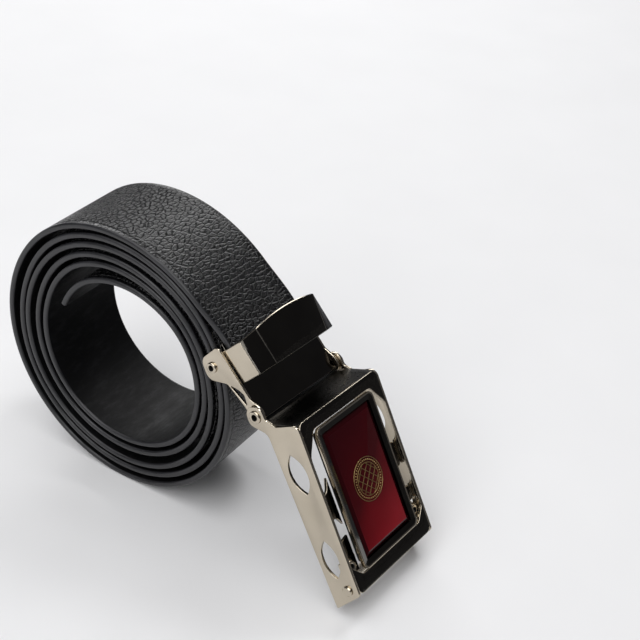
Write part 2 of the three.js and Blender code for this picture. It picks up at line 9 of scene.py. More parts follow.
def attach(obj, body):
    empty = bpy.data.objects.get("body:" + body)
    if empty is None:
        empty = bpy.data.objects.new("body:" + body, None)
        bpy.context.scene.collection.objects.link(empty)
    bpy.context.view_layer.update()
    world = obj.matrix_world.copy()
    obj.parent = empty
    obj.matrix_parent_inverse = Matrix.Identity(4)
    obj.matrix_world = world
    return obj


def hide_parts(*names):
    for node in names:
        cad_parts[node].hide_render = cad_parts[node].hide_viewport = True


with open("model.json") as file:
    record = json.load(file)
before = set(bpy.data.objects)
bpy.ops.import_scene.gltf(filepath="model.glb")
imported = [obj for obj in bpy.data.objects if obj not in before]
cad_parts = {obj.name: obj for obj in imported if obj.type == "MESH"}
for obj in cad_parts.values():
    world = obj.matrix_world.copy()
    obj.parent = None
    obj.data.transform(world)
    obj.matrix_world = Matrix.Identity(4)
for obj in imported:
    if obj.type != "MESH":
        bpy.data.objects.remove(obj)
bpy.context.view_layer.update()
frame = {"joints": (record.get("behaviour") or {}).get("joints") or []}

# A belt with a clip-on plate buckle, its strap rolled up and standing on edge.
# Shapes are drawn in millimetres in the strap's, the clamp's or the buckle's own frame, and a
# piece's points are turned into the model's metres when its mesh is made.
MM = 0.001

# Strap
STRAP_WIDTH = 35
STRAP_THICKNESS = 2
COIL_RADIUS = 50
LEAVE_ANGLE = math.radians(49)
FREE_RUN = 15
LOOSE_GAP = 4
COIL_END_ANGLE = math.radians(1899)
COIL_STEP = math.radians(1.5)
RUN_STEPS = 24
# The coil's shape at six stations round it: its outer turn as a share of COIL_RADIUS, then the gap
# under each turn as a share of LOOSE_GAP, from the outermost in
STATION_ANGLES = [math.radians(angle) for angle in (0, 63, 111, 176, 236, 316)]
OUTER_TURN = [0.97, 0.99, 0.955, 0.93, 0.925, 0.88]
TURN_GAPS = [
    [0.18, 0.33, 0.7, 0.55, 0.5, 0.1],
    [0.1, 0.3, 0.13, 0.23, 0.3, 0.55],
    [0.55, 0.35, 0.6, 0.78, 0.8, 0.1],
    [0.1, 0.33, 0.33, 0.38, 0.4, 0.2],
    [0.4, 0.98, 1.08, 1.1, 1.1, 1.1],
]
STRAP_INSET = 12.2
EDGE_ROUND = 0.75
EDGE_STEPS = 6
EDGE_MARGIN = 1.9

# In the lists of corners below, each is (x, height, radius), with x and height from the hinge pins

# Clamp
CLAMP_PITCH = math.radians(43)
BUCKLE_DRIFT = -1.4
GAP = 0.3
CLAMP_LENGTH = 24.2
CLAMP_PLATE = 1.2
CLAMP_FRONT = 1.9
EAR_WALL = 0.9
CLAMP_EAR = 2.9
EAR_LOBE = 4
COVER_WALL = 0.8
COVER_LENGTH = 11.6
COVER_REAR = 2.2
COVER_SIDE = 8.6
FOLD_CREASE = 0.2
CROWN_SHARES = (0.75, 0.5, 0.25)
COVER_RIM = 0.25
COVER_FRONT_ROWS = (4, 5, 6)
COVER_REAR_ROWS = (11, 12, 13)
COVER_REAR_RISE = 4.2
COVER_FRONT_RISE = 2.5
COVER_CROWN = 1
CROWN_FALL = 0.7
# How far the cover's inner skin lies below the outer at its folds and its crown, as shares of its depth
FOLD_SHARE = 0.6
CROWN_SHARE = 0.4
COVER_STATIONS = (0.25, 0.5, 0.75)
COVER_BOW = 2.2
COVER_REAR_SHOULDER = 4.3
COVER_FRONT_SHOULDER = 5.9
COVER_PIN = (-19.6, -6.3)
EAR_WINDOW = [(-12.6, -3.9, 0.3), (-3.6, -1.9, 0.3), (-7.4, -0.5, 0.6), (-9.6, -1.5, 0.8)]
PLATE_ROOT = 0.2
LUG_RADIUS = 3
LUG_FOOT = 1.6
PANEL_FOOT = 1.2
PANEL_TOP = 9.3
PANEL_INSET = 0.15
JAW_TOP = 9
COVER_INNER = STRAP_WIDTH / 2 + 0.5
COVER_OUTER = COVER_INNER + COVER_WALL
EAR_INNER = COVER_OUTER + 0.25
EAR_OUTER = EAR_INNER + EAR_WALL
PLATE_TOP = CLAMP_PLATE / 2
STRAP_LIFT = PLATE_TOP + GAP + STRAP_THICKNESS / 2

# Frame of the buckle
FRAME_WALL = 1
FRAME_INNER = EAR_OUTER + GAP
FRAME_OUTER = FRAME_INNER + FRAME_WALL
FRAME_EAR = 3.4
FACE_START = 3.9
FACE_LENGTH = 58
FACE_THICKNESS = 1.2
WALL_BACK_TOP = 2.4
WALL_BACK_END = 4.4
WALL_FRONT = 15.4
END_SLANT = 4.5
END_FRONT = FACE_START + FACE_LENGTH
END_BACK = END_FRONT + END_SLANT
TOP_BAND = 4.2
BOTTOM_BAND = 5.2
RAIL_LIP = 0.7
END_PLATE_DEPTH = 7
PIN_HEAD = 2.1
PIN_HEAD_THICKNESS = 0.6
PIN_DEPTH = 1.6
PIN_PLAY = 0.1
PIN_SEAT = 0.05
HOLLOW_DEPTH = 1.4
HINGE_PIN_RADIUS = 1.2
HINGE_PIN_HOLLOW = 1.1
COVER_PIN_RADIUS = 1.1
COVER_PIN_HOLLOW = 1
COVER_PIN_HEAD = PIN_HEAD * 0.86
LOCK_BAR_RADIUS = 1.3
LOCK_BAR = (END_FRONT - LOCK_BAR_RADIUS * 1.5, WALL_FRONT - LOCK_BAR_RADIUS * 3.1)
END_PLATE = 1
END_WALL_TOP = WALL_FRONT - FACE_THICKNESS / 2
END_WALL_FOOT_ANGLE = math.radians(24)
END_WALL_FOOT = math.hypot(CLAMP_FRONT, PLATE_TOP) + 1.5 * GAP
END_LIP = math.hypot(CLAMP_FRONT, PLATE_TOP) + 1.2 * GAP
END_LIP_FOOT = -2.2
END_LIP_THICKNESS = 0.65
FACE_ROOT = 0.4
WALL_ROOT = 0.3
FACE_EDGE = 0.22
RAIL_INSET = 0.2
SHELF_HALF = 2
NOTCH = [(59, 12.9, 0.4), (60.6, 12.6, 1.2), (61.2, 10.4, 0.9), (60.4, 10.2, 0.4), (60.2, 11.6, 0.8),
         (58.9, 12.1, 0.4)]
# The side windows: x, height, length, depth and tilt
SIDE_WINDOWS = [(20, 8.9, 13.6, 6.9, math.radians(5)), (49.2, 9.0, 13.4, 6.4, math.radians(-1))]

# Bezel and inlay
BEZEL_HALF = 15.1
BEZEL_START = FACE_START + TOP_BAND + GAP
BEZEL_END = END_FRONT - BOTTOM_BAND - GAP
BEZEL_TOP = WALL_FRONT + 0.6
BEZEL_BASE = BEZEL_TOP - 5
BEZEL_CORNER = 2.4
BEZEL_WALL = 2.5
UNDERCUT = 2
RAIL_DEPTH = 1.2
TAB_TOP = WALL_FRONT - 2.4
TAB_THICKNESS = 1.2
TAB_EDGE = 0.3
EAR_EDGE = 0.1
RIVET_X = BEZEL_END - 3.2
RIVET_Y = (BEZEL_HALF + FRAME_INNER) / 2 + RAIL_LIP / 2
RIVET_HEAD = (FRAME_INNER - BEZEL_HALF) / 2 - 0.475
RIVET_RADIUS = 1
RIVET_HOLLOW = 0.95
RIVET_RISE = 0.7
RIVET_EYE = 1.1
WASHER_RIM = 0.45
WASHER_THICKNESS = 0.25
INLAY_LOW = BEZEL_BASE + 1 + GAP
INLAY_TOP = INLAY_LOW + 3.4
INLAY_MIDDLE = (BEZEL_START + BEZEL_END) / 2
MEDALLION_RADIUS = 7.2
LATTICE_REACH = MEDALLION_RADIUS - 2
LATTICE_BAR = 0.24
LATTICE_RISE = 0.15
LATTICE_ROWS = (-2, -1, 0, 1, 2)
LATTICE_DIVISIONS = 2.5
RIM_WIRE = 0.13
BEAD_RADIUS = 0.28
BEADS = 44

# Finish
PLATE_EDGE = 0.16
MITRE_LIMIT = 0.3
ARC_STEP = math.radians(15)
SHARP_ANGLE = math.radians(40)

# Patterns of the materials, in millimetres. Pores, grit and hairlines are finer on a real belt and
# are drawn as coarse as they need to be to show.
PEBBLE = 1.9
PEBBLE_DRIFT = 1.1
PEBBLE_DRIFT_PITCH = 2
PEBBLE_RELIEF = 1.6
PEBBLE_CREASE = 0.2
PEBBLE_STRETCH = (1.3, 0.74, 1)
PORE = 0.625
EDGE_FADE = 0.9
EDGE_GRAIN = 0.12
EDGE_RELIEF = 0.12
EDGE_STRETCH = (0.12, 2.5, 1)
RUBBED_STRETCH = (0.35, 0.12, 1)
GRIT = 1 / 3
SPLIT_RELIEF = 0.04
PLATE_CLOUD = 12.5
HAIR = 2 / 3
HAIR_RELIEF = 0.004
GLASS_CLOUD = 50 / 3
BOARD_CLOUD = 50
PER_MM = (1 / MM,) * 3


# Frames of reference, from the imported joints

def joint(name):
    return next(j for j in frame["joints"] if j["name"] == name)


HINGE = Vector(joint("frame_hinge")["pos_m"]) / MM
SIDEWAYS = Vector(joint("frame_hinge")["axis"]).normalized()
LEVEL = Vector((SIDEWAYS.y, -SIDEWAYS.x, 0)).normalized()
UPRIGHT = LEVEL.cross(SIDEWAYS)
ROLL = math.asin(SIDEWAYS.z)


def tilted(pitch):
    """The frame at the hinge pins whose X slopes down by pitch, in millimetres"""
    along = LEVEL * math.cos(pitch) - UPRIGHT * math.sin(pitch)
    above = LEVEL * math.sin(pitch) + UPRIGHT * math.cos(pitch)
    turn = Matrix((along, SIDEWAYS, above)).transposed().to_4x4()
    return Matrix.Translation(HINGE) @ turn


def frame_pitch():
    """The slope at which the buckle's lower back corner stands on the floor"""
    corner = math.hypot(END_BACK, WALL_BACK_END)
    drop = HINGE.z / math.cos(ROLL) - FRAME_OUTER * math.tan(abs(ROLL))
    return math.asin(drop / corner) + math.atan2(WALL_BACK_END, END_BACK)


CLAMP = tilted(CLAMP_PITCH)
BUCKLE = tilted(frame_pitch())


# Outlines and shapes. A shape is (points, faces), and a face is (corners, material, smooth).

def rounded(corners):
    """A closed outline through corners (x, y, radius), each turned into an arc of its radius"""
    outline = []
    for i, (x, y, radius) in enumerate(corners):
        here = Vector((x, y))
        before = (Vector(corners[i - 1][:2]) - here).normalized()
        after = (Vector(corners[(i + 1) % len(corners)][:2]) - here).normalized()
        turn = math.pi - before.angle(after)
        if radius <= 0 or turn < 0.02:
            outline.append(here)
            continue
        middle = here + (before + after).normalized() * radius / math.cos(turn / 2)
        start = here + before * radius * math.tan(turn / 2) - middle
        sign = 1 if before.x * after.y - before.y * after.x < 0 else -1
        steps = max(2, round(turn / ARC_STEP))
        for k in range(steps + 1):
            angle = sign * turn * k / steps
            c, s = math.cos(angle), math.sin(angle)
            outline.append(middle + Vector((start.x * c - start.y * s, start.x * s + start.y * c)))
    return outline


def symmetric(corners):
    """A closed outline from its corners on one side of the X axis and their mirror images"""
    return rounded(corners + [(x, -y, radius) for x, y, radius in corners[::-1]])


def rounded_rect(x0, x1, half, radius):
    return symmetric([(x0, -half, radius), (x1, -half, radius)])


def circle(x, y, radius, count=24):
    turns = [2 * math.pi * k / count for k in range(count)]
    return [Vector((x + radius * math.cos(a), y + radius * math.sin(a))) for a in turns]


def leaf(x, y, length, height, tilt, count=12):
    """A pointed oval: two arcs that meet at its ends"""
    outline = []
    for side in (-1, 1):
        for k in range(count):
            t = -1 + 2 * k / count
            along = -side * t * length / 2
            rise = side * height / 2 * (1 - abs(t) ** 2.3)
            outline.append(Vector((x + along * math.cos(tilt) - rise * math.sin(tilt),
                                   y + along * math.sin(tilt) + rise * math.cos(tilt))))
    return outline


def signed_area(outline):
    return sum(a.x * b.y - a.y * b.x for a, b in zip(outline, outline[1:] + outline[:1])) / 2


def wound(outline, positive):
    """The outline, run the way that the material lies on its left"""
    return outline if (signed_area(outline) > 0) == positive else outline[::-1]


def mirrored(outline):
    return [Vector((p.x, -p.y)) for p in outline][::-1]


def inset(outline, distance):
    """The outline moved into the material by distance, with mitred corners"""
    inner = []
    for i, here in enumerate(outline):
        before = (here - outline[i - 1]).normalized()
        after = (outline[(i + 1) % len(outline)] - here).normalized()
        out = Vector((before.y + after.y, -before.x - after.x))
        inner.append(here - out * distance / max(1 + before.dot(after), MITRE_LIMIT))
    return inner


def slab(outline, low, high, material, holes=(), edge=PLATE_EDGE, rim=None, wall=None, edge_steps=3):
    """A plate from low to high, drawn in X and Y. Its rounded edges may have a material of their own,
    rim, and so may its upright faces, wall."""
    rim, wall = rim or material, wall or material
    loops = [wound(outline, True)] + [wound(hole, False) for hole in holes]
    rings = []
    for k in range(edge_steps + 1):
        angle = math.pi / 2 * k / edge_steps
        rings.append((edge * (1 - math.sin(angle)), low + edge * (1 - math.cos(angle))))
    rings += [(distance, low + high - z) for distance, z in rings[::-1]]
    points, faces = [], []
    count = sum(len(loop) for loop in loops)
    for distance, z in rings:
        for loop in loops:
            points += [Vector((p.x, p.y, z)) for p in inset(loop, distance)]
    for ring in range(len(rings) - 1):
        first = ring * count
        skin = wall if ring == edge_steps else rim
        for loop in loops:
            for i in range(len(loop)):
                a, b = first + i, first + (i + 1) % len(loop)
                faces.append(((a, b, b + count, a + count), skin, True))
            first += len(loop)
    cap = [[Vector((p.x, p.y, 0)) for p in inset(loop, edge)] for loop in loops]
    flat = [p for loop in cap for p in loop]
    top = (len(rings) - 1) * count
    for a, b, c in tessellate_polygon(cap):
        if (flat[b] - flat[a]).cross(flat[c] - flat[a]).z < 0:
            b, c = c, b
        faces.append(((top + a, top + b, top + c), material, False))
        faces.append(((a, c, b), material, False))
    return points, faces


def loft(rings, bands, caps=("", "")):
    """A skin over rings of points; bands names each band's material, and caps the two ends'"""
    count = len(rings[0])
    points = [p.copy() for ring in rings for p in ring]
    faces = []
    for ring, (material, smooth) in enumerate(bands):
        first, second = ring * count, (ring + 1) % len(rings) * count
        for i in range(count):
            j = (i + 1) % count
            faces.append(((first + i, first + j, second + j, second + i), material, smooth))
    if caps[0]:
        faces.append((tuple(range(count))[::-1], caps[0], False))
    if caps[1]:
        last = (len(rings) - 1) * count
        faces.append((tuple(range(last, last + count)), caps[1], False))
    return points, faces


def sheet_metal(rows, paint, ends):
    """A bent sheet's skin: its rows of points run across it and close round its four edges.
    paint gives the material and the smoothness of the face at a row and a column."""
    count = len(rows[0])
    points = [p for row in rows for p in row]
    faces = []
    for row in range(len(rows)):
        first, second = row * count, (row + 1) % len(rows) * count
        for i in range(count - 1):
            faces.append(((first + i, first + i + 1, second + i + 1, second + i), *paint(row, i)))
    for column, step in ((0, 1), (count - 1, -1)):
        loop = [row * count + column for row in range(len(rows))]
        faces.append((tuple(loop[::step]), ends, False))
    return points, faces


def turned(profile, material, hollow=0, steps=28):
    """A shape turned round Z from (radius, height) points that start and end on the axis. Inside the
    radius hollow its faces are dark, as painted shade."""
    points, faces = [], []
    rings = []
    for radius, height in profile:
        if radius < 1e-6:
            rings.append([len(points)] * steps)
            points.append(Vector((0, 0, height)))
            continue
        rings.append(list(range(len(points), len(points) + steps)))
        points += [Vector((p.x, p.y, height)) for p in circle(0, 0, radius, steps)]
    for (lower, upper), widths in zip(zip(rings, rings[1:]), zip(profile, profile[1:])):
        # Faces inside the hollow take the dark material: painted shade
        inside = max(radius for radius, _ in widths) <= hollow + 1e-6
        for i in range(steps):
            j = (i + 1) % steps
            corners = []
            for corner in (lower[i], lower[j], upper[j], upper[i]):
                if corner not in corners:
                    corners.append(corner)
            faces.append((tuple(corners), "oxide" if inside else material, True))
    return points, faces


def moved(shape, matrix):
    return [matrix @ p for p in shape[0]], shape[1]


def standing(shape):
    """Turns a plate drawn in X and Y on edge: its Y becomes Z, and its height runs to -Y"""
    return moved(shape, Matrix(((1, 0, 0, 0), (0, 0, -1, 0), (0, 1, 0, 0), (0, 0, 0, 1))))


def facing_side(shape, side, x, z, y):
    """Puts a shape turned round Z on its side, its Z pointing outward along side at half width y"""
    turn = Matrix(((1, 0, 0, x), (0, 0, side, side * y), (0, -side, 0, z), (0, 0, 0, 1)))
    return moved(shape, turn)


def on_side(outline, outer, thickness, side, material, **settings):
    """A standing plate whose outer face lies at half width outer, on the side -1 or 1"""
    low, high = (outer - thickness, outer) if side < 0 else (-outer, thickness - outer)
    return standing(slab(outline, low, high, material, **settings))


def in_scene(name, data):
    made = bpy.data.objects.new(name, data)
    bpy.context.scene.collection.objects.link(made)
    return made


def dress(name, mesh, body, replaces):
    """One object from a finished mesh, that rides on body and stands for CAD nodes"""
    made = in_scene(name, mesh)
    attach(made, body)
    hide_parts(*replaces)


def piece(name, body, matrix, shapes, replaces):
    """One dressed object from shapes, placed by matrix"""
    points, faces, names = [], [], []
    for shape_points, shape_faces in shapes:
        first = len(points)
        points += [matrix @ p * MM for p in shape_points]
        for corners, material, smooth in shape_faces:
            if material not in names:
                names.append(material)
            faces.append((tuple(first + c for c in corners), names.index(material), smooth))
    mesh = bpy.data.meshes.new(name)
    mesh.from_pydata(points, [], [corners for corners, _, _ in faces])
    for material in names:
        mesh.materials.append(MATERIALS[material])
    mesh.polygons.foreach_set("material_index", [material for _, material, _ in faces])
    mesh.polygons.foreach_set("use_smooth", [smooth for _, _, smooth in faces])
    mesh.update()
    mesh.set_sharp_from_angle(angle=SHARP_ANGLE)
    dress(name, mesh, body, replaces)


# Nodes

def add(tree, kind, inputs=None, stops=(), **settings):
    """Adds a node. Its settings are properties, its stops a colour ramp's positions and tones, and
    its inputs are values or links. A node given as an input is linked by its first output."""
    node = tree.nodes.new(kind)
    for key, value in settings.items():
        setattr(node, key, value)
    for i, (position, tone) in enumerate(stops):
        stop = node.color_ramp.elements[i] if i < 2 else node.color_ramp.elements.new(position)
        stop.position = position
        stop.color = colour(tone) if isinstance(tone, str) else (tone, tone, tone, 1)
    for key, value in (inputs or {}).items():
        if isinstance(value, bpy.types.Node):
            value = value.outputs[0]
        if isinstance(value, bpy.types.NodeSocket):
            tree.links.new(value, node.inputs[key])
        else:
            node.inputs[key].default_value = value
    return node


def new_tree(name, sizes):
    """A geometry tree with a mesh in and out, and a named input for each of its sizes"""
    tree = bpy.data.node_groups.new(name, "GeometryNodeTree")
    tree.interface.new_socket("Geometry", in_out="INPUT", socket_type="NodeSocketGeometry")
    for size, kind in sizes.items():
        tree.interface.new_socket(size, in_out="INPUT", socket_type=kind)
    tree.interface.new_socket("Geometry", in_out="OUTPUT", socket_type="NodeSocketGeometry")
    return tree, add(tree, "NodeGroupInput").outputs


def shaped_by(tree, mesh, sizes):
    """Runs a geometry tree on a mesh, its sizes set socket by socket, and returns the plain mesh"""
    carrier = in_scene("carrier", mesh)
    modifier = carrier.modifiers.new("shape", "NODES")
    modifier.node_group = tree
    for socket in tree.interface.items_tree:
        if socket.in_out == "INPUT" and socket.name in sizes:
            modifier[socket.identifier] = sizes[socket.name]
    graph = bpy.context.evaluated_depsgraph_get()
    made = bpy.data.meshes.new_from_object(carrier.evaluated_get(graph), depsgraph=graph)
    bpy.data.objects.remove(carrier)
    return made


def colour(hex_code):
    """An sRGB hex colour as the linear colour that a shader takes"""
    channels = [int(hex_code[i:i + 2], 16) / 255 for i in (1, 3, 5)]
    return [c / 12.92 if c <= 0.04045 else ((c + 0.055) / 1.055) ** 2.4 for c in channels] + [1]


def new_material(name):
    material = bpy.data.materials.new(name)
    material.use_nodes = True
    material.node_tree.nodes.clear()
    return material, material.node_tree


def finished(material, **sockets):
    """Ends a material with its one shader, its sockets' values or links named with underscores"""
    tree = material.node_tree
    shader = add(tree, "ShaderNodeBsdfPrincipled",
                 {key.replace("_", " "): value for key, value in sockets.items()})
    add(tree, "ShaderNodeOutputMaterial", {"Surface": shader})
    return material


def pebbled_cowhide():
    """Full-grain cowhide, drum-dyed black and plated with a pebble grain. The eye sees rounded
    cells of about 2 mm with narrow creases that catch the light, and a smooth strip at each edge. The
    creases are also painted lighter than the cells, a painted highlight."""
    material, tree = new_material("pebbled_cowhide")
    surface = add(tree, "ShaderNodeUVMap", uv_map="surface")
    drift = add(tree, "ShaderNodeTexNoise",
                {"Vector": surface, "Scale": 1 / PEBBLE_DRIFT_PITCH, "Detail": 2})
    pushed = add(tree, "ShaderNodeVectorMath", {0: drift.outputs["Color"], 1: (0.5, 0.5, 0.5)},
                 operation="SUBTRACT")
    scaled = add(tree, "ShaderNodeVectorMath", {0: pushed, "Scale": PEBBLE_DRIFT}, operation="SCALE")
    warped = add(tree, "ShaderNodeVectorMath", {0: surface, 1: scaled}, operation="ADD")
    stretched = add(tree, "ShaderNodeMapping", {"Vector": warped, "Scale": PEBBLE_STRETCH})
    cell = {"Vector": stretched, "Scale": 1 / PEBBLE, "Randomness": 0.9}
    border = add(tree, "ShaderNodeTexVoronoi", cell, feature="DISTANCE_TO_EDGE", voronoi_dimensions="2D")
    centre = add(tree, "ShaderNodeTexVoronoi", cell, voronoi_dimensions="2D")
    dome = add(tree, "ShaderNodeMapRange", {"Value": border, "From Max": PEBBLE_CREASE},
               interpolation_type="SMOOTHERSTEP")
    tall = add(tree, "ShaderNodeSeparateColor", {"Color": centre.outputs["Color"]})
    vary = add(tree, "ShaderNodeMath", {0: tall, 1: 0.4, 2: 0.6}, operation="MULTIPLY_ADD")
    grain = add(tree, "ShaderNodeMath", {0: dome, 1: vary}, operation="MULTIPLY")
    fine = add(tree, "ShaderNodeTexNoise", {"Vector": surface, "Scale": 1 / PORE, "Detail": 3})
    pores = add(tree, "ShaderNodeMath", {0: fine, 1: 0.3, 2: grain}, operation="MULTIPLY_ADD")
    split = add(tree, "ShaderNodeSeparateXYZ", {"Vector": surface})
    across = add(tree, "ShaderNodeMath", {0: split.outputs["Y"]}, operation="ABSOLUTE")
    inner = STRAP_WIDTH / 2 - EDGE_MARGIN
    margin = add(tree, "ShaderNodeMapRange", {"Value": across, "From Min": inner - EDGE_FADE,
                 "From Max": inner, "To Min": 1, "To Max": EDGE_GRAIN}, interpolation_type="SMOOTHSTEP")
    height = add(tree, "ShaderNodeMath", {0: pores, 1: margin}, operation="MULTIPLY")
    relief = add(tree, "ShaderNodeBump", {"Height": height, "Strength": 1, "Distance": PEBBLE_RELIEF * MM})
    # The creases are painted lighter than the cells: a painted highlight
    tone = add(tree, "ShaderNodeValToRGB", {"Fac": grain},
               stops=[(0, "#1e1e21"), (0.35, "#070708"), (1, "#0a0a0b")])
    polish = add(tree, "ShaderNodeValToRGB", {"Fac": grain}, stops=[(0, 0.25), (1, 0.33)])
    return finished(material, Base_Color=tone, Roughness=polish, Normal=relief, IOR=1.5,
                    Specular_IOR_Level=0.5)


def painted_edge():
    """Leather edge, skived, sealed and painted black. The eye sees a smooth satin bead."""
    material, tree = new_material("painted_leather_edge")
    surface = add(tree, "ShaderNodeUVMap", uv_map="surface")
    long_ways = add(tree, "ShaderNodeMapping", {"Vector": surface, "Scale": EDGE_STRETCH})
    ripple = add(tree, "ShaderNodeTexNoise", {"Vector": long_ways, "Scale": 1, "Detail": 2})
    relief = add(tree, "ShaderNodeBump", {"Height": ripple, "Strength": 1, "Distance": EDGE_RELIEF * MM})
    tone = add(tree, "ShaderNodeValToRGB", {"Fac": ripple}, stops=[(0.3, "#1a1a1c"), (0.7, "#29292c")])
    polish = add(tree, "ShaderNodeValToRGB", {"Fac": ripple}, stops=[(0.3, 0.27), (0.7, 0.4)])
    return finished(material, Base_Color=tone, Roughness=polish, Normal=relief, IOR=1.5)


def smooth_split():
    """Split cowhide, coated black and ironed smooth. The eye sees a plain dark back with faint
    rubbed marks along it."""
    material, tree = new_material("smooth_split_leather")
    surface = add(tree, "ShaderNodeUVMap", uv_map="surface")
    stretched = add(tree, "ShaderNodeMapping", {"Vector": surface, "Scale": RUBBED_STRETCH})
    rubbed = add(tree, "ShaderNodeTexNoise",
                 {"Vector": stretched, "Scale": 1, "Detail": 6, "Roughness": 0.7})
    grit = add(tree, "ShaderNodeTexNoise", {"Vector": surface, "Scale": 1 / GRIT, "Detail": 2})
    relief = add(tree, "ShaderNodeBump", {"Height": grit, "Strength": 1, "Distance": SPLIT_RELIEF * MM})
    tone = add(tree, "ShaderNodeValToRGB", {"Fac": rubbed}, stops=[(0.5, "#070708"), (0.8, "#1c1c1e")])
    polish = add(tree, "ShaderNodeValToRGB", {"Fac": rubbed}, stops=[(0.35, 0.62), (0.7, 0.45)])
    return finished(material, Base_Color=tone, Roughness=polish, Normal=relief, IOR=1.5,
                    Specular_IOR_Level=0.2)


def plated(name, light, dark, roughness):
    """A polished plated metal: its colour drifts a little from light to dark over some
    millimetres, and faint hairlines soften its mirror."""
    material, tree = new_material(name)
    place = add(tree, "ShaderNodeTexCoord").outputs["Object"]
    in_mm = add(tree, "ShaderNodeMapping", {"Vector": place, "Scale": PER_MM})
    cloud = add(tree, "ShaderNodeTexNoise", {"Vector": in_mm, "Scale": 1 / PLATE_CLOUD, "Detail": 3})
    hairs = add(tree, "ShaderNodeTexNoise", {"Vector": in_mm, "Scale": 1 / HAIR, "Detail": 4})
    relief = add(tree, "ShaderNodeBump", {"Height": hairs, "Strength": 1, "Distance": HAIR_RELIEF * MM})
    tone = add(tree, "ShaderNodeValToRGB", {"Fac": cloud}, stops=[(0.3, dark), (0.7, light)])
    polish = add(tree, "ShaderNodeValToRGB", {"Fac": hairs},
                 stops=[(0.3, roughness), (0.75, roughness * 1.7)])
    return finished(material, Base_Color=tone, Roughness=polish, Normal=relief, Metallic=1)


def polished_nickel():
    """Nickel plate over a zinc casting, polished. The eye sees a warm, slightly champagne mirror."""
    return plated("polished_nickel_plate", "#c9bfae", "#beb4a3", 0.13)


def black_nickel():
    """Black nickel plate over pressed steel, polished. The eye sees a near black mirror."""
    return plated("black_nickel_plate", "#524f4a", "#474440", 0.05)


def satin_black_nickel():
    """Black nickel plate on a wall that was only tumbled. The eye sees a soft dark grey sheen."""
    return plated("satin_black_nickel_plate", "#4a4845", "#3a3836", 0.24)


def fold_highlight_black_nickel():
    """Black nickel plate painted lighter along folds and edges, as a painted highlight. The eye sees a fine
    grey line along the fold.
    """
    return plated("black_nickel_painted_fold_highlight", "#a09b92", "#6f6b65", 0.3)


def gilt():
    """Brass foil, etched and gilded. The eye sees fine dull gold lines."""
    return plated("gilded_brass", "#b39a6a", "#987e52", 0.3)


def dark_painted_shade():
    """A near black, matt material for holes and hollows, as painted shade. The eye sees dark holes and
    hollows.
    """
    material, _ = new_material("painted_shade_matt_black")
    return finished(material, Base_Color=colour("#0e0e0f"), Roughness=0.7, Specular_IOR_Level=0.2)


def bevelled_glass():
    """The cast glass past the foil, at its bevel. The eye sees a dark red that is nearly black."""
    material, _ = new_material("ruby_glass_bevel")
    return finished(material, Base_Color=colour("#2a0408"), Roughness=0.2, IOR=1.52,
                    Specular_IOR_Level=0.15)


def ruby_glass():
    """Cast glass with a bevelled edge over a red foil. The eye sees deep red under a clear gloss,
    painted lighter towards the lower end as a painted reflection."""
    material, tree = new_material("ruby_glass")
    place = add(tree, "ShaderNodeTexCoord").outputs["Object"]
    low = BUCKLE @ Vector((BEZEL_START, -BEZEL_HALF, INLAY_TOP)) * MM
    high = BUCKLE @ Vector((BEZEL_END, BEZEL_HALF, INLAY_TOP)) * MM
    run = high - low
    # The red is painted lighter towards the lower end and the far side: a painted reflection
    away = add(tree, "ShaderNodeVectorMath", {0: place, 1: low}, operation="SUBTRACT")
    share = add(tree, "ShaderNodeVectorMath", {0: away, 1: run / run.length_squared},
                operation="DOT_PRODUCT")
    in_mm = add(tree, "ShaderNodeMapping", {"Vector": place, "Scale": PER_MM})
    cloud = add(tree, "ShaderNodeTexNoise", {"Vector": in_mm, "Scale": 1 / GLASS_CLOUD, "Detail": 1})
    mixed = add(tree, "ShaderNodeMath", {0: cloud, 1: 0.3, 2: share.outputs["Value"]},
                operation="MULTIPLY_ADD")
    tone = add(tree, "ShaderNodeValToRGB", {"Fac": mixed},
               stops=[(0.2, "#260105"), (0.65, "#3e0208"), (1, "#8a0d1a")])
    return finished(material, Base_Color=tone, Roughness=0.3, IOR=1.52, Specular_IOR_Level=0.1,
                    Coat_Weight=0.4, Coat_Roughness=0.02)


MATERIALS = {
    "cowhide": pebbled_cowhide(),
    "edge": painted_edge(),
    "split": smooth_split(),
    "nickel": polished_nickel(),
    "black": black_nickel(),
    "worn": fold_highlight_black_nickel(),
    "glass": ruby_glass(),
    "bevel": bevelled_glass(),
    "satin": satin_black_nickel(),
    "oxide": dark_painted_shade(),
    "gilt": gilt(),
}


# The strap

def coil_table():
    table = []
    for turn in range(len(TURN_GAPS) + 1):
        for station, angle in enumerate(STATION_ANGLES):
            radius = OUTER_TURN[station] * COIL_RADIUS
            radius -= sum(STRAP_THICKNESS + gaps[station] * LOOSE_GAP for gaps in TURN_GAPS[:turn])
            table.append((angle + turn * 2 * math.pi, radius))
    return table


COIL_TABLE = coil_table()


def coil_radius(angle):
    """A smooth curve through the stations' radii"""
    i = 0
    while i + 2 < len(COIL_TABLE) and COIL_TABLE[i + 1][0] <= angle:
        i += 1

    def slope(k):
        if k in (0, len(COIL_TABLE) - 1):
            return 0
        before, after = COIL_TABLE[k - 1], COIL_TABLE[k + 1]
        return (after[1] - before[1]) / (after[0] - before[0])

    (from_angle, from_radius), (to_angle, to_radius) = COIL_TABLE[i], COIL_TABLE[i + 1]
    span = to_angle - from_angle
    t = (angle - from_angle) / span
    return (from_radius * (1 + 2 * t) * (1 - t) ** 2 + to_radius * t * t * (3 - 2 * t)
            + slope(i) * span * t * (1 - t) ** 2 - slope(i + 1) * span * t * t * (1 - t))


def coil_point(angle):
    radius = coil_radius(angle)
    return Vector((radius * math.cos(LEAVE_ANGLE + angle), 0, radius * math.sin(LEAVE_ANGLE + angle)))


def on_slope(pitch):
    return Vector((math.cos(pitch), 0, -math.sin(pitch)))


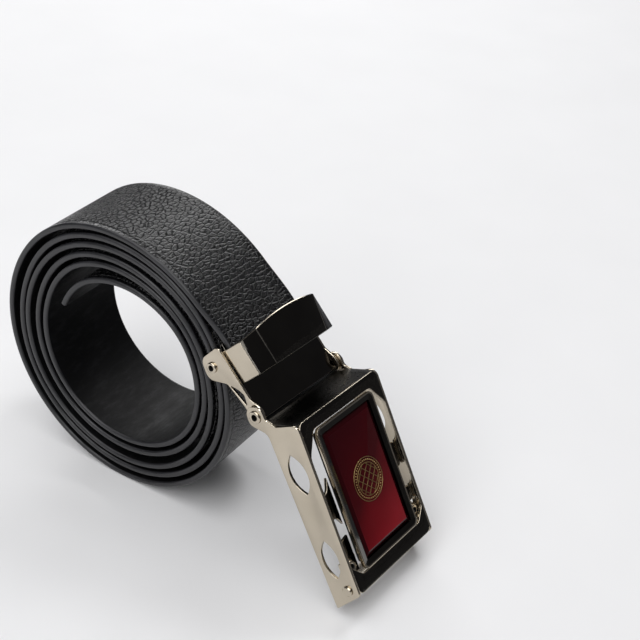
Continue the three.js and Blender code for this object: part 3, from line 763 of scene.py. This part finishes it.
LEAVE_PITCH = math.pi / 2 - LEAVE_ANGLE
COIL_CENTRE = HINGE - (coil_point(0) + on_slope((LEAVE_PITCH + CLAMP_PITCH) / 2) * FREE_RUN
                       + on_slope(CLAMP_PITCH) * CLAMP_LENGTH
                       - Vector((math.sin(CLAMP_PITCH), 0, math.cos(CLAMP_PITCH))) * STRAP_LIFT
                       + Vector((0, BUCKLE_DRIFT, 0)))


def strap_line():
    """Points of the strap's middle line with the way across it there, from the free end on"""
    line = []
    steps = round(COIL_END_ANGLE / COIL_STEP)
    for i in range(steps, -1, -1):
        line.append((coil_point(i / steps * COIL_END_ANGLE) + COIL_CENTRE, Vector((0, 1, 0))))
    start, run = coil_point(0) + COIL_CENTRE, on_slope(LEAVE_PITCH)
    ahead = CLAMP.to_3x3() @ Vector((1, 0, 0))
    entry = CLAMP @ Vector((-CLAMP_LENGTH, 0, STRAP_LIFT))
    second, third = start + run * FREE_RUN / 3, entry - ahead * FREE_RUN / 3
    for i in range(1, RUN_STEPS + 1):
        t = i / RUN_STEPS
        point = (start * (1 - t) ** 3 + second * 3 * t * (1 - t) ** 2 + third * 3 * t * t * (1 - t)
                 + entry * t ** 3)
        line.append((point, Vector((0, 1, 0)).lerp(SIDEWAYS, t).normalized()))
    line.append((CLAMP @ Vector((-STRAP_INSET, 0, STRAP_LIFT)), SIDEWAYS))
    return line


def strap_sweep():
    """Sweeps a section with rounded edges along the strap's middle line. The section's own place is
    kept on the mesh, to lay the strap's map and to tell its grain, its edges and its back apart."""
    sizes = ("Width", "Thickness", "Edge radius")
    tree, given = new_tree("strap_sweep", dict.fromkeys(sizes, "NodeSocketFloat"))
    across = add(tree, "GeometryNodeInputNamedAttribute", {"Name": "across"}, data_type="FLOAT_VECTOR")
    run, side, rise = (add(tree, "GeometryNodeInputNamedAttribute", {"Name": name}, data_type="FLOAT")
                       for name in ("run", "side", "rise"))
    length = add(tree, "GeometryNodeSplineParameter").outputs["Length"]
    place = add(tree, "ShaderNodeSeparateXYZ", {"Vector": add(tree, "GeometryNodeInputPosition")})

    middle = add(tree, "GeometryNodeMeshToCurve", {"Mesh": given["Geometry"]})
    faced = add(tree, "GeometryNodeSetCurveNormal", {"Curve": middle, "Normal": across}, mode="FREE")
    rail = add(tree, "GeometryNodeStoreNamedAttribute", {"Geometry": faced, "Name": "run", "Value": length})
    section = add(tree, "GeometryNodeCurvePrimitiveQuadrilateral",
                  {"Width": given["Width"], "Height": given["Thickness"]})
    profile = add(tree, "GeometryNodeFilletCurve",
                  {"Curve": section, "Radius": given["Edge radius"], "Count": EDGE_STEPS}, mode="POLY")
    for name, value in (("side", place.outputs["X"]), ("rise", place.outputs["Y"])):
        profile = add(tree, "GeometryNodeStoreNamedAttribute",
                      {"Geometry": profile, "Name": name, "Value": value})
    swept = add(tree, "GeometryNodeCurveToMesh",
                {"Curve": rail, "Profile Curve": profile, "Fill Caps": True})
    mapped = add(tree, "ShaderNodeCombineXYZ", {"X": run, "Y": side})
    in_mm = add(tree, "ShaderNodeVectorMath", {0: mapped, "Scale": 1 / MM}, operation="SCALE")
    strap = add(tree, "GeometryNodeStoreNamedAttribute",
                {"Geometry": swept, "Name": "surface", "Value": in_mm}, data_type="FLOAT2", domain="CORNER")

    # Just under half the thickness, so that rounding doesn't lose the flat faces
    level = add(tree, "ShaderNodeMath", {0: given["Thickness"], 1: 0.499}, operation="MULTIPLY")
    underside = add(tree, "ShaderNodeMath", {0: level, 1: -1}, operation="MULTIPLY")
    grain = add(tree, "ShaderNodeMath", {0: rise, 1: level}, operation="GREATER_THAN")
    back = add(tree, "ShaderNodeMath", {0: rise, 1: underside}, operation="LESS_THAN")
    for name, chosen in (("edge", True), ("cowhide", grain), ("split", back)):
        strap = add(tree, "GeometryNodeSetMaterial",
                    {"Geometry": strap, "Selection": chosen, "Material": MATERIALS[name]})

    half = add(tree, "ShaderNodeMath", {0: given["Width"], 1: 0.5}, operation="MULTIPLY")
    flat_end = add(tree, "ShaderNodeMath", {0: half, 1: given["Edge radius"]}, operation="SUBTRACT")
    off_middle = add(tree, "ShaderNodeMath", {0: side}, operation="ABSOLUTE")
    at_end = add(tree, "ShaderNodeMath", {0: off_middle, 1: flat_end, 2: 0.01 * MM}, operation="COMPARE")
    off_level = add(tree, "ShaderNodeMath", {0: rise}, operation="ABSOLUTE")
    on_flat = add(tree, "ShaderNodeMath", {0: off_level, 1: level}, operation="GREATER_THAN")
    corner = add(tree, "ShaderNodeMath", {0: at_end, 1: on_flat}, operation="MULTIPLY")
    crease = add(tree, "GeometryNodeSetShadeSmooth",
                 {"Geometry": strap, "Selection": corner, "Shade Smooth": False}, domain="EDGE")
    real = add(tree, "GeometryNodeRealizeInstances", {"Geometry": crease})
    add(tree, "NodeGroupOutput", {"Geometry": real})
    return tree


def make_strap():
    line = strap_line()
    rail = bpy.data.meshes.new("strap_middle_line")
    rail.from_pydata([point * MM for point, _ in line], [(i, i + 1) for i in range(len(line) - 1)], [])
    across = rail.attributes.new("across", "FLOAT_VECTOR", "POINT")
    across.data.foreach_set("vector", [number for _, side in line for number in side])
    mesh = shaped_by(strap_sweep(), rail, {
        "Width": STRAP_WIDTH * MM, "Thickness": STRAP_THICKNESS * MM, "Edge radius": EDGE_ROUND * MM,
    })
    dress("leather_strap", mesh, "belt", ["strap"])


# The clamp

def ring_pin(radius, head, rise, hollow):
    """A tubular pin's end, turned round Z: a domed rim round a hollow"""
    return [(0, -PIN_DEPTH), (radius, -PIN_DEPTH), (radius, 0), (head, 0), (head, rise * 0.55),
            (head - 0.15, rise * 0.85), (head - 0.45, rise), (hollow + 0.25, rise), (hollow, rise * 0.8),
            (hollow, -HOLLOW_DEPTH), (0, -HOLLOW_DEPTH)]


def clamp_ear():
    x, z = COVER_PIN
    return rounded([
        (-CLAMP_LENGTH, PLATE_TOP, 1.4), (x - EAR_LOBE, z - EAR_LOBE * 0.6, 3.2),
        (x + 2.6, z - EAR_LOBE * 1.1, 3.2), (x + EAR_LOBE * 1.7, z + EAR_LOBE * 0.5, 1.5),
        (-CLAMP_EAR * 1.5, -CLAMP_EAR * 1.05, 3), (CLAMP_EAR, -CLAMP_EAR, CLAMP_EAR),
        (CLAMP_EAR, CLAMP_EAR, CLAMP_EAR), (-CLAMP_EAR * 0.6, CLAMP_EAR * 0.8, 1.6),
        (-CLAMP_EAR * 1.9, PLATE_TOP, 1),
    ])


def make_clamp_base():
    openings = [rounded(EAR_WINDOW), circle(*COVER_PIN, COVER_PIN_RADIUS + PIN_PLAY),
                circle(0, 0, HINGE_PIN_RADIUS + PIN_PLAY)]
    shapes = [on_side(clamp_ear(), EAR_OUTER, EAR_WALL, side, "nickel", holes=openings)
              for side in (-1, 1)]
    shoulder = COVER_PIN[0] + LUG_RADIUS + 2 * GAP
    wide, narrow = EAR_INNER + PLATE_ROOT, COVER_INNER - GAP
    plate = symmetric([(-CLAMP_LENGTH, -narrow, 0.4), (shoulder, -narrow, 0), (shoulder, -wide, 0),
                       (CLAMP_FRONT, -wide, 0)])
    # The plate's rounded edges take the lighter plate: a painted highlight
    shapes.append(slab(plate, -PLATE_TOP, PLATE_TOP, "black", rim="worn", wall="black"))
    piece("clamp_plate_and_ears", "belt", CLAMP, shapes, ["clamp_base"])


def cover_section(t, depth):
    """The cover's section at the share t of its length: feet, creased folds and an arched crown"""
    shoulder = COVER_REAR_SHOULDER + (COVER_FRONT_SHOULDER - COVER_REAR_SHOULDER) * t
    rise = COVER_REAR_RISE + (COVER_FRONT_RISE - COVER_REAR_RISE) * t
    crown = COVER_CROWN * (1 - CROWN_FALL * t)
    foot, fold = PLATE_TOP + GAP, PLATE_TOP + GAP + COVER_SIDE - depth * FOLD_SHARE
    outer = COVER_OUTER - depth
    arch, top = outer - shoulder, fold + rise - depth * CROWN_SHARE
    facet = Vector((-shoulder, rise)).normalized() * FOLD_CREASE
    half = [(outer, foot), (outer, fold - FOLD_CREASE), (outer + facet.x, fold + facet.y),
            (arch - facet.x, top - facet.y), (arch - FOLD_CREASE, top)]
    for share in CROWN_SHARES:
        half.append((arch * share, top + crown * (1 - share ** 2)))
    return half + [(0, top + crown)] + [(-y, z) for y, z in half[::-1]]


def cover_row(t, from_end, depth):
    """One row across the cover, its rear edge bowed back at the middle"""
    row = []
    for y, z in cover_section(t, depth):
        bow = COVER_BOW * max(1 - (y / COVER_INNER) ** 2, 0) * (1 - t)
        row.append(Vector((COVER_REAR - CLAMP_LENGTH + COVER_LENGTH * t + from_end - bow, y, z)))
    return row


def paint_cover(row, column):
    """Black plate with a nickel rear edge, and a lighter plate along its front edge and its creases as a
    painted highlight
    """
    last = 2 * len(CROWN_SHARES) + 9
    creases = (1, 3, last - 3, last - 1)
    crown = 4 <= column <= last - 4
    if row in COVER_REAR_ROWS:
        return "nickel", False
    # The front edge and the creases take the lighter plate: a painted highlight
    if row in COVER_FRONT_ROWS or column in creases:
        return "worn", False
    return "black", crown


def make_clamp_cover():
    rim, wall = COVER_RIM, COVER_WALL
    rows = [cover_row(0, rim, 0), *[cover_row(t, 0, 0) for t in COVER_STATIONS], cover_row(1, -rim, 0),
            cover_row(1, 0, rim), cover_row(1, 0, wall - rim), cover_row(1, -rim, wall),
            *[cover_row(t, 0, wall) for t in COVER_STATIONS[::-1]], cover_row(0, rim, wall),
            cover_row(0, 0, wall - rim), cover_row(0, 0, rim)]
    rear = -CLAMP_LENGTH + COVER_REAR
    front = rear + COVER_LENGTH
    lug = rounded([
        (COVER_PIN[0] + LUG_RADIUS, LUG_FOOT, 0), (max(COVER_PIN[0] - LUG_RADIUS, rear), LUG_FOOT, 0),
        (COVER_PIN[0] - LUG_RADIUS, COVER_PIN[1] - LUG_RADIUS, LUG_RADIUS),
        (COVER_PIN[0] + LUG_RADIUS, COVER_PIN[1] - LUG_RADIUS, LUG_RADIUS),
    ])
    side_panel = rounded([
        (rear + PANEL_INSET, PANEL_FOOT, 0.9), (front - PANEL_INSET, PANEL_FOOT, 0.9),
        (front - PANEL_INSET, PANEL_TOP, 0.6), (rear + PANEL_INSET, PANEL_TOP, 0.6),
    ])
    shapes = [sheet_metal(rows, paint_cover, "black")]
    shapes += [on_side(lug, COVER_OUTER - 0.02, COVER_WALL - 0.04, side, "nickel") for side in (-1, 1)]
    shapes += [on_side(side_panel, COVER_OUTER + 0.12, 0.5, side, "nickel") for side in (-1, 1)]
    jaw_foot = STRAP_LIFT + STRAP_THICKNESS / 2 + GAP
    jaw = slab(rounded_rect(jaw_foot, JAW_TOP, COVER_INNER - 0.1, 0.2), 0, COVER_WALL, "black")
    upended = Matrix(((0, 0, -1, front - 0.2), (0, 1, 0, 0), (1, 0, 0, 0), (0, 0, 0, 1)))
    shapes.append(moved(jaw, upended))
    piece("clamp_cover_plate", "cover", CLAMP, shapes, ["clamp_cover"])


def make_pins():
    for name, side in (("left", -1), ("right", 1)):
        hinge = ring_pin(HINGE_PIN_RADIUS, PIN_HEAD, PIN_HEAD_THICKNESS, HINGE_PIN_HOLLOW)
        hinge = turned(hinge, "nickel", HINGE_PIN_HOLLOW)
        piece(f"hinge_pin_{name}_ringed", "belt", BUCKLE,
              [facing_side(hinge, side, 0, 0, FRAME_OUTER + PIN_SEAT)], [f"hinge_pin_{name}"])
        cover = ring_pin(COVER_PIN_RADIUS, COVER_PIN_HEAD, PIN_HEAD_THICKNESS, COVER_PIN_HOLLOW)
        cover = turned(cover, "nickel", COVER_PIN_HOLLOW)
        piece(f"cover_pin_{name}_ringed", "belt", CLAMP,
              [facing_side(cover, side, *COVER_PIN, EAR_OUTER + PIN_SEAT)], [f"cover_pin_{name}"])


# The buckle

def wall_outline():
    ear = FRAME_EAR
    return rounded([
        (-ear, -ear, ear), (2.5, -ear, 2.6), (6, WALL_BACK_TOP, 3), (END_BACK, WALL_BACK_END, 0.5),
        (END_FRONT, WALL_FRONT, 1.3), (FACE_START, WALL_FRONT, 2.6), (FACE_START, 6.5, 1),
        (2.9, 5.4, 0.9), (1.4, ear, 1.6), (-ear, ear, ear),
    ])


def side_walls():
    holes = [leaf(*window) for window in SIDE_WINDOWS]
    holes += [rounded(NOTCH), circle(0, 0, HINGE_PIN_RADIUS + PIN_PLAY)]
    return [on_side(wall_outline(), FRAME_OUTER, FRAME_WALL, side, "nickel", holes=holes)
            for side in (-1, 1)]


def face_plate():
    """The face: a black band at each end, joined by a narrow rail at each side of the window"""
    face = rounded_rect(FACE_START + 0.05, END_FRONT - 0.05, FRAME_INNER + FACE_ROOT, BEZEL_CORNER)
    low, high = FACE_START + TOP_BAND, END_FRONT - BOTTOM_BAND
    rail, flat = FRAME_INNER - RAIL_INSET, BEZEL_HALF
    window = symmetric([(low, -flat, 2.5), (low + 2.2, -flat - 1.4, 2.5), (low + 7, -rail, 4),
                        (high - 4, -rail, 2.5), (high, -flat - 1, 2.5)])
    return slab(face, WALL_FRONT - FACE_THICKNESS, WALL_FRONT - 0.02, "black", holes=[window],
                rim="nickel", wall="nickel", edge=FACE_EDGE)


def lower_wall():
    start = LOCK_BAR[0] - LOCK_BAR_RADIUS - 2 * GAP - END_PLATE
    return slab(rounded_rect(start, start + END_PLATE, FRAME_INNER + WALL_ROOT, 0.2),
                WALL_FRONT - END_PLATE_DEPTH, END_WALL_TOP, "nickel")


def leaning_wall():
    """The wall from the face down to the hinge, narrower between the ears, and the lip under it, dark as
    painted shade
    """
    foot_x, foot_z = (END_WALL_FOOT * turn(END_WALL_FOOT_ANGLE) for turn in (math.cos, math.sin))
    top_x, between = FACE_START + GAP, EAR_INNER - GAP
    shapes = []
    for low, reach in ((foot_z, between), (CLAMP_EAR + 2 * GAP, FRAME_INNER + WALL_ROOT)):
        share = (low - foot_z) / (END_WALL_TOP - foot_z)
        low_x = foot_x + (top_x - foot_x) * share
        section = rounded([(low_x, low, 0.15), (low_x + END_PLATE, low, 0.15),
                           (top_x + END_PLATE, END_WALL_TOP, 0), (top_x, END_WALL_TOP, 0)])
        shapes.append(standing(slab(section, -reach, reach, "satin")))
    lip_end, lip_top = END_LIP + END_LIP_THICKNESS, foot_z + 0.3
    lip = rounded([(END_LIP, END_LIP_FOOT, 0.2), (lip_end, END_LIP_FOOT, 0.2), (lip_end, lip_top, 0),
                   (END_LIP, lip_top, 0)])
    # The lip takes the dark material: painted shade
    return shapes + [standing(slab(lip, -between, between, "oxide"))]


def rivet_shelves():
    """The ledges inside the side walls that the bezel's rivets go into"""
    top = TAB_TOP - TAB_THICKNESS - GAP
    inner, outer = RIVET_Y - RIVET_HEAD * 0.9, FRAME_INNER + WALL_ROOT
    shelf = rounded([(RIVET_X - SHELF_HALF, inner, 0.5), (RIVET_X + SHELF_HALF, inner, 0.5),
                     (RIVET_X + SHELF_HALF, outer, 0), (RIVET_X - SHELF_HALF, outer, 0)])
    return [slab(outline, top - 1, top, "nickel") for outline in (mirrored(shelf), shelf)]


def make_frame_case():
    shapes = [*side_walls(), face_plate(), lower_wall(), *leaning_wall(), *rivet_shelves()]
    piece("frame_case", "buckle", BUCKLE, shapes, ["frame"])


def tab_outlines():
    """The bezel's tabs on one side: a scrolled bridge, a plain block and the rivet's ear. Corners are
    (x, half width, radius), with x from the hinge pins."""
    root, reach = BEZEL_HALF - 0.5, FRAME_INNER - GAP
    bridge = rounded([(24.5, root, 0), (28.4, root + 1.8, 2.5), (29.2, reach, 1), (38.4, reach, 1),
                      (36.4, root + 2.4, 2), (40.2, root, 0)])
    block = rounded([(44, root, 0), (45, reach, 0.4), (49.8, reach, 0.4), (50.8, root, 0)])
    ear = rounded([(RIVET_X - 2.8, root, 0), (RIVET_X - 2.4, reach, 2), (RIVET_X + 2.4, reach, 2),
                   (RIVET_X + 2.8, root, 0)])
    return [wound(outline, True) for outline in (bridge, block, ear)]


def bezel_ring(distance, z):
    radius = max(BEZEL_CORNER - distance, 0.5)
    outline = rounded_rect(BEZEL_START + distance, BEZEL_END - distance, BEZEL_HALF - distance, radius)
    return [Vector((p.x, p.y, z)) for p in outline]


def make_bezel():
    top, base = BEZEL_TOP, BEZEL_BASE
    profile = [
        # the foot and the undercut side
        (BEZEL_WALL + 0.7, base), (UNDERCUT, base + 1.3), (UNDERCUT, top - RAIL_DEPTH - 0.2),
        # the plated rail round the top
        (0.15, top - RAIL_DEPTH - 0.1), (0, top - RAIL_DEPTH), (0, top - 0.25), (0.07, top - 0.07),
        (0.25, top), (0.55, top), (0.68, top - 0.1),
        # the black flat inside it, down to the glass
        (BEZEL_WALL - 0.25, top - 0.22), (BEZEL_WALL, top - 0.45), (BEZEL_WALL, base + 1),
    ]
    # The foot and the undercut side take the dark material: painted shade
    bands = [("oxide", False)] * 3 + [("nickel", True)] * 4
    bands += [("nickel", False), ("nickel", True), ("black", False), ("black", True), ("black", False)]
    shapes = [loft([bezel_ring(*place) for place in profile], bands, ("black", "black"))]
    for side in (1, -1):
        eye = circle(RIVET_X, side * RIVET_Y, RIVET_EYE)
        for outline, holes in zip(tab_outlines(), ([], [], [eye])):
            shapes.append(slab(outline if side > 0 else mirrored(outline), TAB_TOP - TAB_THICKNESS,
                               TAB_TOP, "black", holes=holes, rim="nickel",
                               edge=EAR_EDGE if holes else TAB_EDGE))
        washer = circle(RIVET_X, side * RIVET_Y, RIVET_HEAD + WASHER_RIM)
        shapes.append(slab(washer, TAB_TOP, TAB_TOP + WASHER_THICKNESS, "nickel", holes=[eye],
                           edge=EAR_EDGE))
    piece("bezel_tray", "buckle", BUCKLE, shapes, ["bezel"])


def glass_ring(distance, z):
    x0, x1 = BEZEL_START + BEZEL_WALL + GAP + distance, BEZEL_END - BEZEL_WALL - GAP - distance
    half = BEZEL_HALF - BEZEL_WALL - GAP - distance
    return [Vector((p.x, p.y, z)) for p in rounded_rect(x0, x1, half, 0.15)]


def make_inlay():
    top = INLAY_TOP
    rings = [(0, INLAY_LOW), (0, top - 0.75), (0.06, top - 0.68), (1.55, top - 0.04), (1.65, top)]
    bands = [("bevel", False), ("bevel", True), ("bevel", False), ("glass", True)]
    shapes = [loft([glass_ring(*place) for place in rings], bands, ("glass", "glass"))]
    piece("glass_inlay", "buckle", BUCKLE, shapes, ["inlay"])


def beaded_rims():
    """Adds two round wires, with a row of beads between them, to the ornament's lattice"""
    tree, given = new_tree("beaded_rims", {
        "Outer radius": "NodeSocketFloat", "Inner radius": "NodeSocketFloat", "Wire": "NodeSocketFloat",
        "Bead": "NodeSocketFloat", "Beads": "NodeSocketInt", "Base": "NodeSocketFloat",
    })
    wire = add(tree, "GeometryNodeCurvePrimitiveCircle", {"Resolution": 8, "Radius": given["Wire"]})
    parts = []
    for radius in (given["Outer radius"], given["Inner radius"]):
        rim = add(tree, "GeometryNodeCurvePrimitiveCircle", {"Resolution": 72, "Radius": radius})
        parts.append(add(tree, "GeometryNodeCurveToMesh", {"Curve": rim, "Profile Curve": wire}))
    both = add(tree, "ShaderNodeMath", {0: given["Outer radius"], 1: given["Inner radius"]},
               operation="ADD")
    middle = add(tree, "ShaderNodeMath", {0: both, 1: 0.5}, operation="MULTIPLY")
    ring = add(tree, "GeometryNodeMeshCircle", {"Vertices": given["Beads"], "Radius": middle})
    bead = add(tree, "GeometryNodeMeshIcoSphere", {"Radius": given["Bead"], "Subdivisions": 2})
    parts.append(add(tree, "GeometryNodeInstanceOnPoints", {"Points": ring, "Instance": bead}))
    joined = add(tree, "GeometryNodeJoinGeometry")
    for part in parts:
        tree.links.new(part.outputs[0], joined.inputs["Geometry"])
    lift = add(tree, "ShaderNodeCombineXYZ", {"Z": given["Base"]})
    raised = add(tree, "GeometryNodeTransform", {"Geometry": joined, "Translation": lift})
    whole = add(tree, "GeometryNodeJoinGeometry", {"Geometry": raised})
    tree.links.new(given["Geometry"], whole.inputs["Geometry"])
    real = add(tree, "GeometryNodeRealizeInstances", {"Geometry": whole})
    gilded = add(tree, "GeometryNodeSetMaterial", {"Geometry": real, "Material": MATERIALS["gilt"]})
    add(tree, "NodeGroupOutput", {"Geometry": gilded})
    return tree


def make_medallion():
    points, faces = [], []
    for row in LATTICE_ROWS:
        offset = row * LATTICE_REACH / LATTICE_DIVISIONS
        half = math.sqrt(LATTICE_REACH ** 2 - offset ** 2) - 0.05
        bar = slab(rounded_rect(-half, half, LATTICE_BAR / 2, 0.05), INLAY_TOP,
                   INLAY_TOP + LATTICE_RISE, "gilt", edge=0.03)
        for angle in (45, -45):
            turn = Matrix.Rotation(math.radians(angle), 4, "Z") @ Matrix.Translation((0, offset, 0))
            placed, corners = moved(bar, turn)
            faces += [tuple(len(points) + c for c in face) for face, _, _ in corners]
            points += placed
    lattice = bpy.data.meshes.new("lattice")
    lattice.from_pydata(points, [], faces)
    lattice.materials.append(MATERIALS["gilt"])
    mesh = shaped_by(beaded_rims(), lattice, {
        "Outer radius": MEDALLION_RADIUS - 0.25, "Inner radius": LATTICE_REACH, "Wire": RIM_WIRE,
        "Bead": BEAD_RADIUS, "Beads": BEADS, "Base": INLAY_TOP + 0.1,
    })
    mesh.transform(Matrix.Scale(MM, 4) @ BUCKLE @ Matrix.Translation((INLAY_MIDDLE, 0, 0)))
    dress("gilt_medallion", mesh, "buckle", ["medallion"])


def make_rivets():
    rivet = turned(ring_pin(RIVET_RADIUS, RIVET_HEAD, RIVET_RISE, RIVET_HOLLOW), "nickel", RIVET_HOLLOW)
    for name, side in (("left", -1), ("right", 1)):
        place = Matrix.Translation((RIVET_X, side * RIVET_Y, TAB_TOP + GAP - 0.25))
        piece(f"bezel_rivet_{name}", "buckle", BUCKLE, [moved(rivet, place)], [f"rivet_{name}"])


def make_lock_bar():
    x, z = LOCK_BAR
    radius, end = LOCK_BAR_RADIUS, FRAME_OUTER + PIN_SEAT
    outer_half = [(radius, end), (radius * 1.35, end), (radius * 1.35, end + 0.3),
                  (radius * 1.1, end + 0.6), (0, end + 0.6)]
    profile = [(reach, -height) for reach, height in outer_half[::-1]] + outer_half
    piece("frame_lock_bar", "buckle", BUCKLE,
          [facing_side(turned(profile, "nickel"), 1, x, z, 0)], ["lock_bar"])


# Studio, in metres

FLOOR_REACH = 3
WRAP_CENTRE = Vector((0.05, 0, 0))
WRAP_SECTION = [(0.06, 0.001), (0.42, 0.001), (0.46, 0.12)]
WRAP_START, WRAP_END = math.radians(-15), math.radians(150)
WRAP_STEPS = 16
LIGHTS = [
    # name, place, what it faces, width, height, power in watts
    ("key softbox", (-0.6, 0.8, 0.5), (0, 0, 0.04), 0.9, 0.5, 4.6),
    ("overhead softbox", (-0.15, -0.35, 1.3), (0, 0, 0), 1.6, 1.4, 14.5),
    ("high spot", (0.1, 0.45, 0.8), (0, 0, 0.06), 0.2, 0.2, 1.4),
    ("front fill", (0.1, -1.1, 0.8), (0, 0, 0.03), 1.0, 0.8, 6),
]
# The camera was fitted to the coil's edges and the buckle's corners in the photograph
CAMERA_PLACE = Vector((0.20536, -0.28215, 0.30858))
CAMERA_AZIMUTH = math.radians(30.54)
CAMERA_ELEVATION = math.radians(34.14)
CAMERA_ROLL = math.radians(4.35)
CAMERA_LENS = 74.76


def stage_mesh(name, points, faces, material):
    """A mesh that belongs to the studio and not to the belt"""
    mesh = bpy.data.meshes.new(name)
    mesh.from_pydata(points, [], faces)
    mesh.materials.append(material)
    made = in_scene(name, mesh)
    return made


def white_board():
    """Coated card, matt. The eye sees an even pale floor with soft shadows."""
    material, tree = new_material("matt_white_board")
    place = add(tree, "ShaderNodeTexCoord").outputs["Object"]
    in_mm = add(tree, "ShaderNodeMapping", {"Vector": place, "Scale": PER_MM})
    paper = add(tree, "ShaderNodeTexNoise", {"Vector": in_mm, "Scale": 1 / BOARD_CLOUD, "Detail": 2})
    tone = add(tree, "ShaderNodeValToRGB", {"Fac": paper}, stops=[(0.3, "#e9e9ea"), (0.7, "#ebebec")])
    return finished(material, Base_Color=tone, Roughness=0.85)


def make_floor():
    corners = [(x * FLOOR_REACH, y * FLOOR_REACH, 0) for x, y in ((-1, -1), (1, -1), (1, 1), (-1, 1))]
    stage_mesh("floor", corners, [(0, 1, 2, 3)], white_board())


def dark_paper():
    """Uncoated paper, dyed dark grey. The eye meets it only as a dark patch in the mirrors."""
    material, _ = new_material("dark_paper")
    return finished(material, Base_Color=colour("#58585a"), Roughness=1, Specular_IOR_Level=0)


def make_wrap():
    """Dark paper that lies on the floor at the buckle's right and back and rises at its far edge.
    Only mirrors see it, as a studio keeps one beside polished metal."""
    turns = [WRAP_START + (WRAP_END - WRAP_START) * k / WRAP_STEPS for k in range(WRAP_STEPS + 1)]
    points = [WRAP_CENTRE + Vector((math.cos(a) * radius, math.sin(a) * radius, height))
              for radius, height in WRAP_SECTION for a in turns]
    row = len(turns)
    faces = [(first + i, first + i + 1, first + i + 1 + row, first + i + row)
             for first in range(0, row * (len(WRAP_SECTION) - 1), row) for i in range(WRAP_STEPS)]
    wrap = stage_mesh("dark_wrap", points, faces, dark_paper())
    wrap.visible_camera = False
    wrap.visible_diffuse = False
    wrap.visible_shadow = False


def make_lights():
    for name, place, target, width, height, power in LIGHTS:
        light = bpy.data.lights.new(name, "AREA")
        light.shape = "RECTANGLE"
        light.size, light.size_y = width, height
        light.energy = power
        made = in_scene(name, light)
        made.location = place
        made.rotation_euler = (Vector(target) - Vector(place)).to_track_quat("-Z", "Y").to_euler()


def make_world():
    """A dim room for the mirrors to reflect, and a pale backdrop where the camera looks past the floor"""
    world = bpy.data.worlds.new("studio")
    world.use_nodes = True
    tree = world.node_tree
    tree.nodes.clear()
    seen = add(tree, "ShaderNodeLightPath")
    dim = add(tree, "ShaderNodeBackground", {"Color": colour("#4c4c4f"), "Strength": 1})
    pale = add(tree, "ShaderNodeBackground", {"Color": colour("#ececed"), "Strength": 1})
    mixed = add(tree, "ShaderNodeMixShader", {0: seen.outputs["Is Camera Ray"], 1: dim, 2: pale})
    add(tree, "ShaderNodeOutputWorld", {"Surface": mixed})
    bpy.context.scene.world = world


def make_camera():
    azimuth, elevation, roll = CAMERA_AZIMUTH, CAMERA_ELEVATION, CAMERA_ROLL
    forward = Vector((-math.sin(azimuth) * math.cos(elevation), math.cos(azimuth) * math.cos(elevation),
                      -math.sin(elevation)))
    level = Vector((math.cos(azimuth), math.sin(azimuth), 0))
    up = level.cross(forward)
    right = level * math.cos(roll) + up * math.sin(roll)
    upward = up * math.cos(roll) - level * math.sin(roll)
    data = bpy.data.cameras.new("camera")
    data.lens = CAMERA_LENS
    data.clip_start = 0.01
    camera = in_scene("camera", data)
    turn = Matrix((right, upward, -forward)).transposed().to_4x4()
    camera.matrix_world = Matrix.Translation(CAMERA_PLACE) @ turn
    bpy.context.scene.camera = camera


make_strap()
make_clamp_base()
make_clamp_cover()
make_pins()
make_frame_case()
make_bezel()
make_inlay()
make_medallion()
make_rivets()
make_lock_bar()

make_floor()
make_world()
make_wrap()
make_lights()
make_camera()
bpy.context.scene.view_settings.view_transform = "Standard"
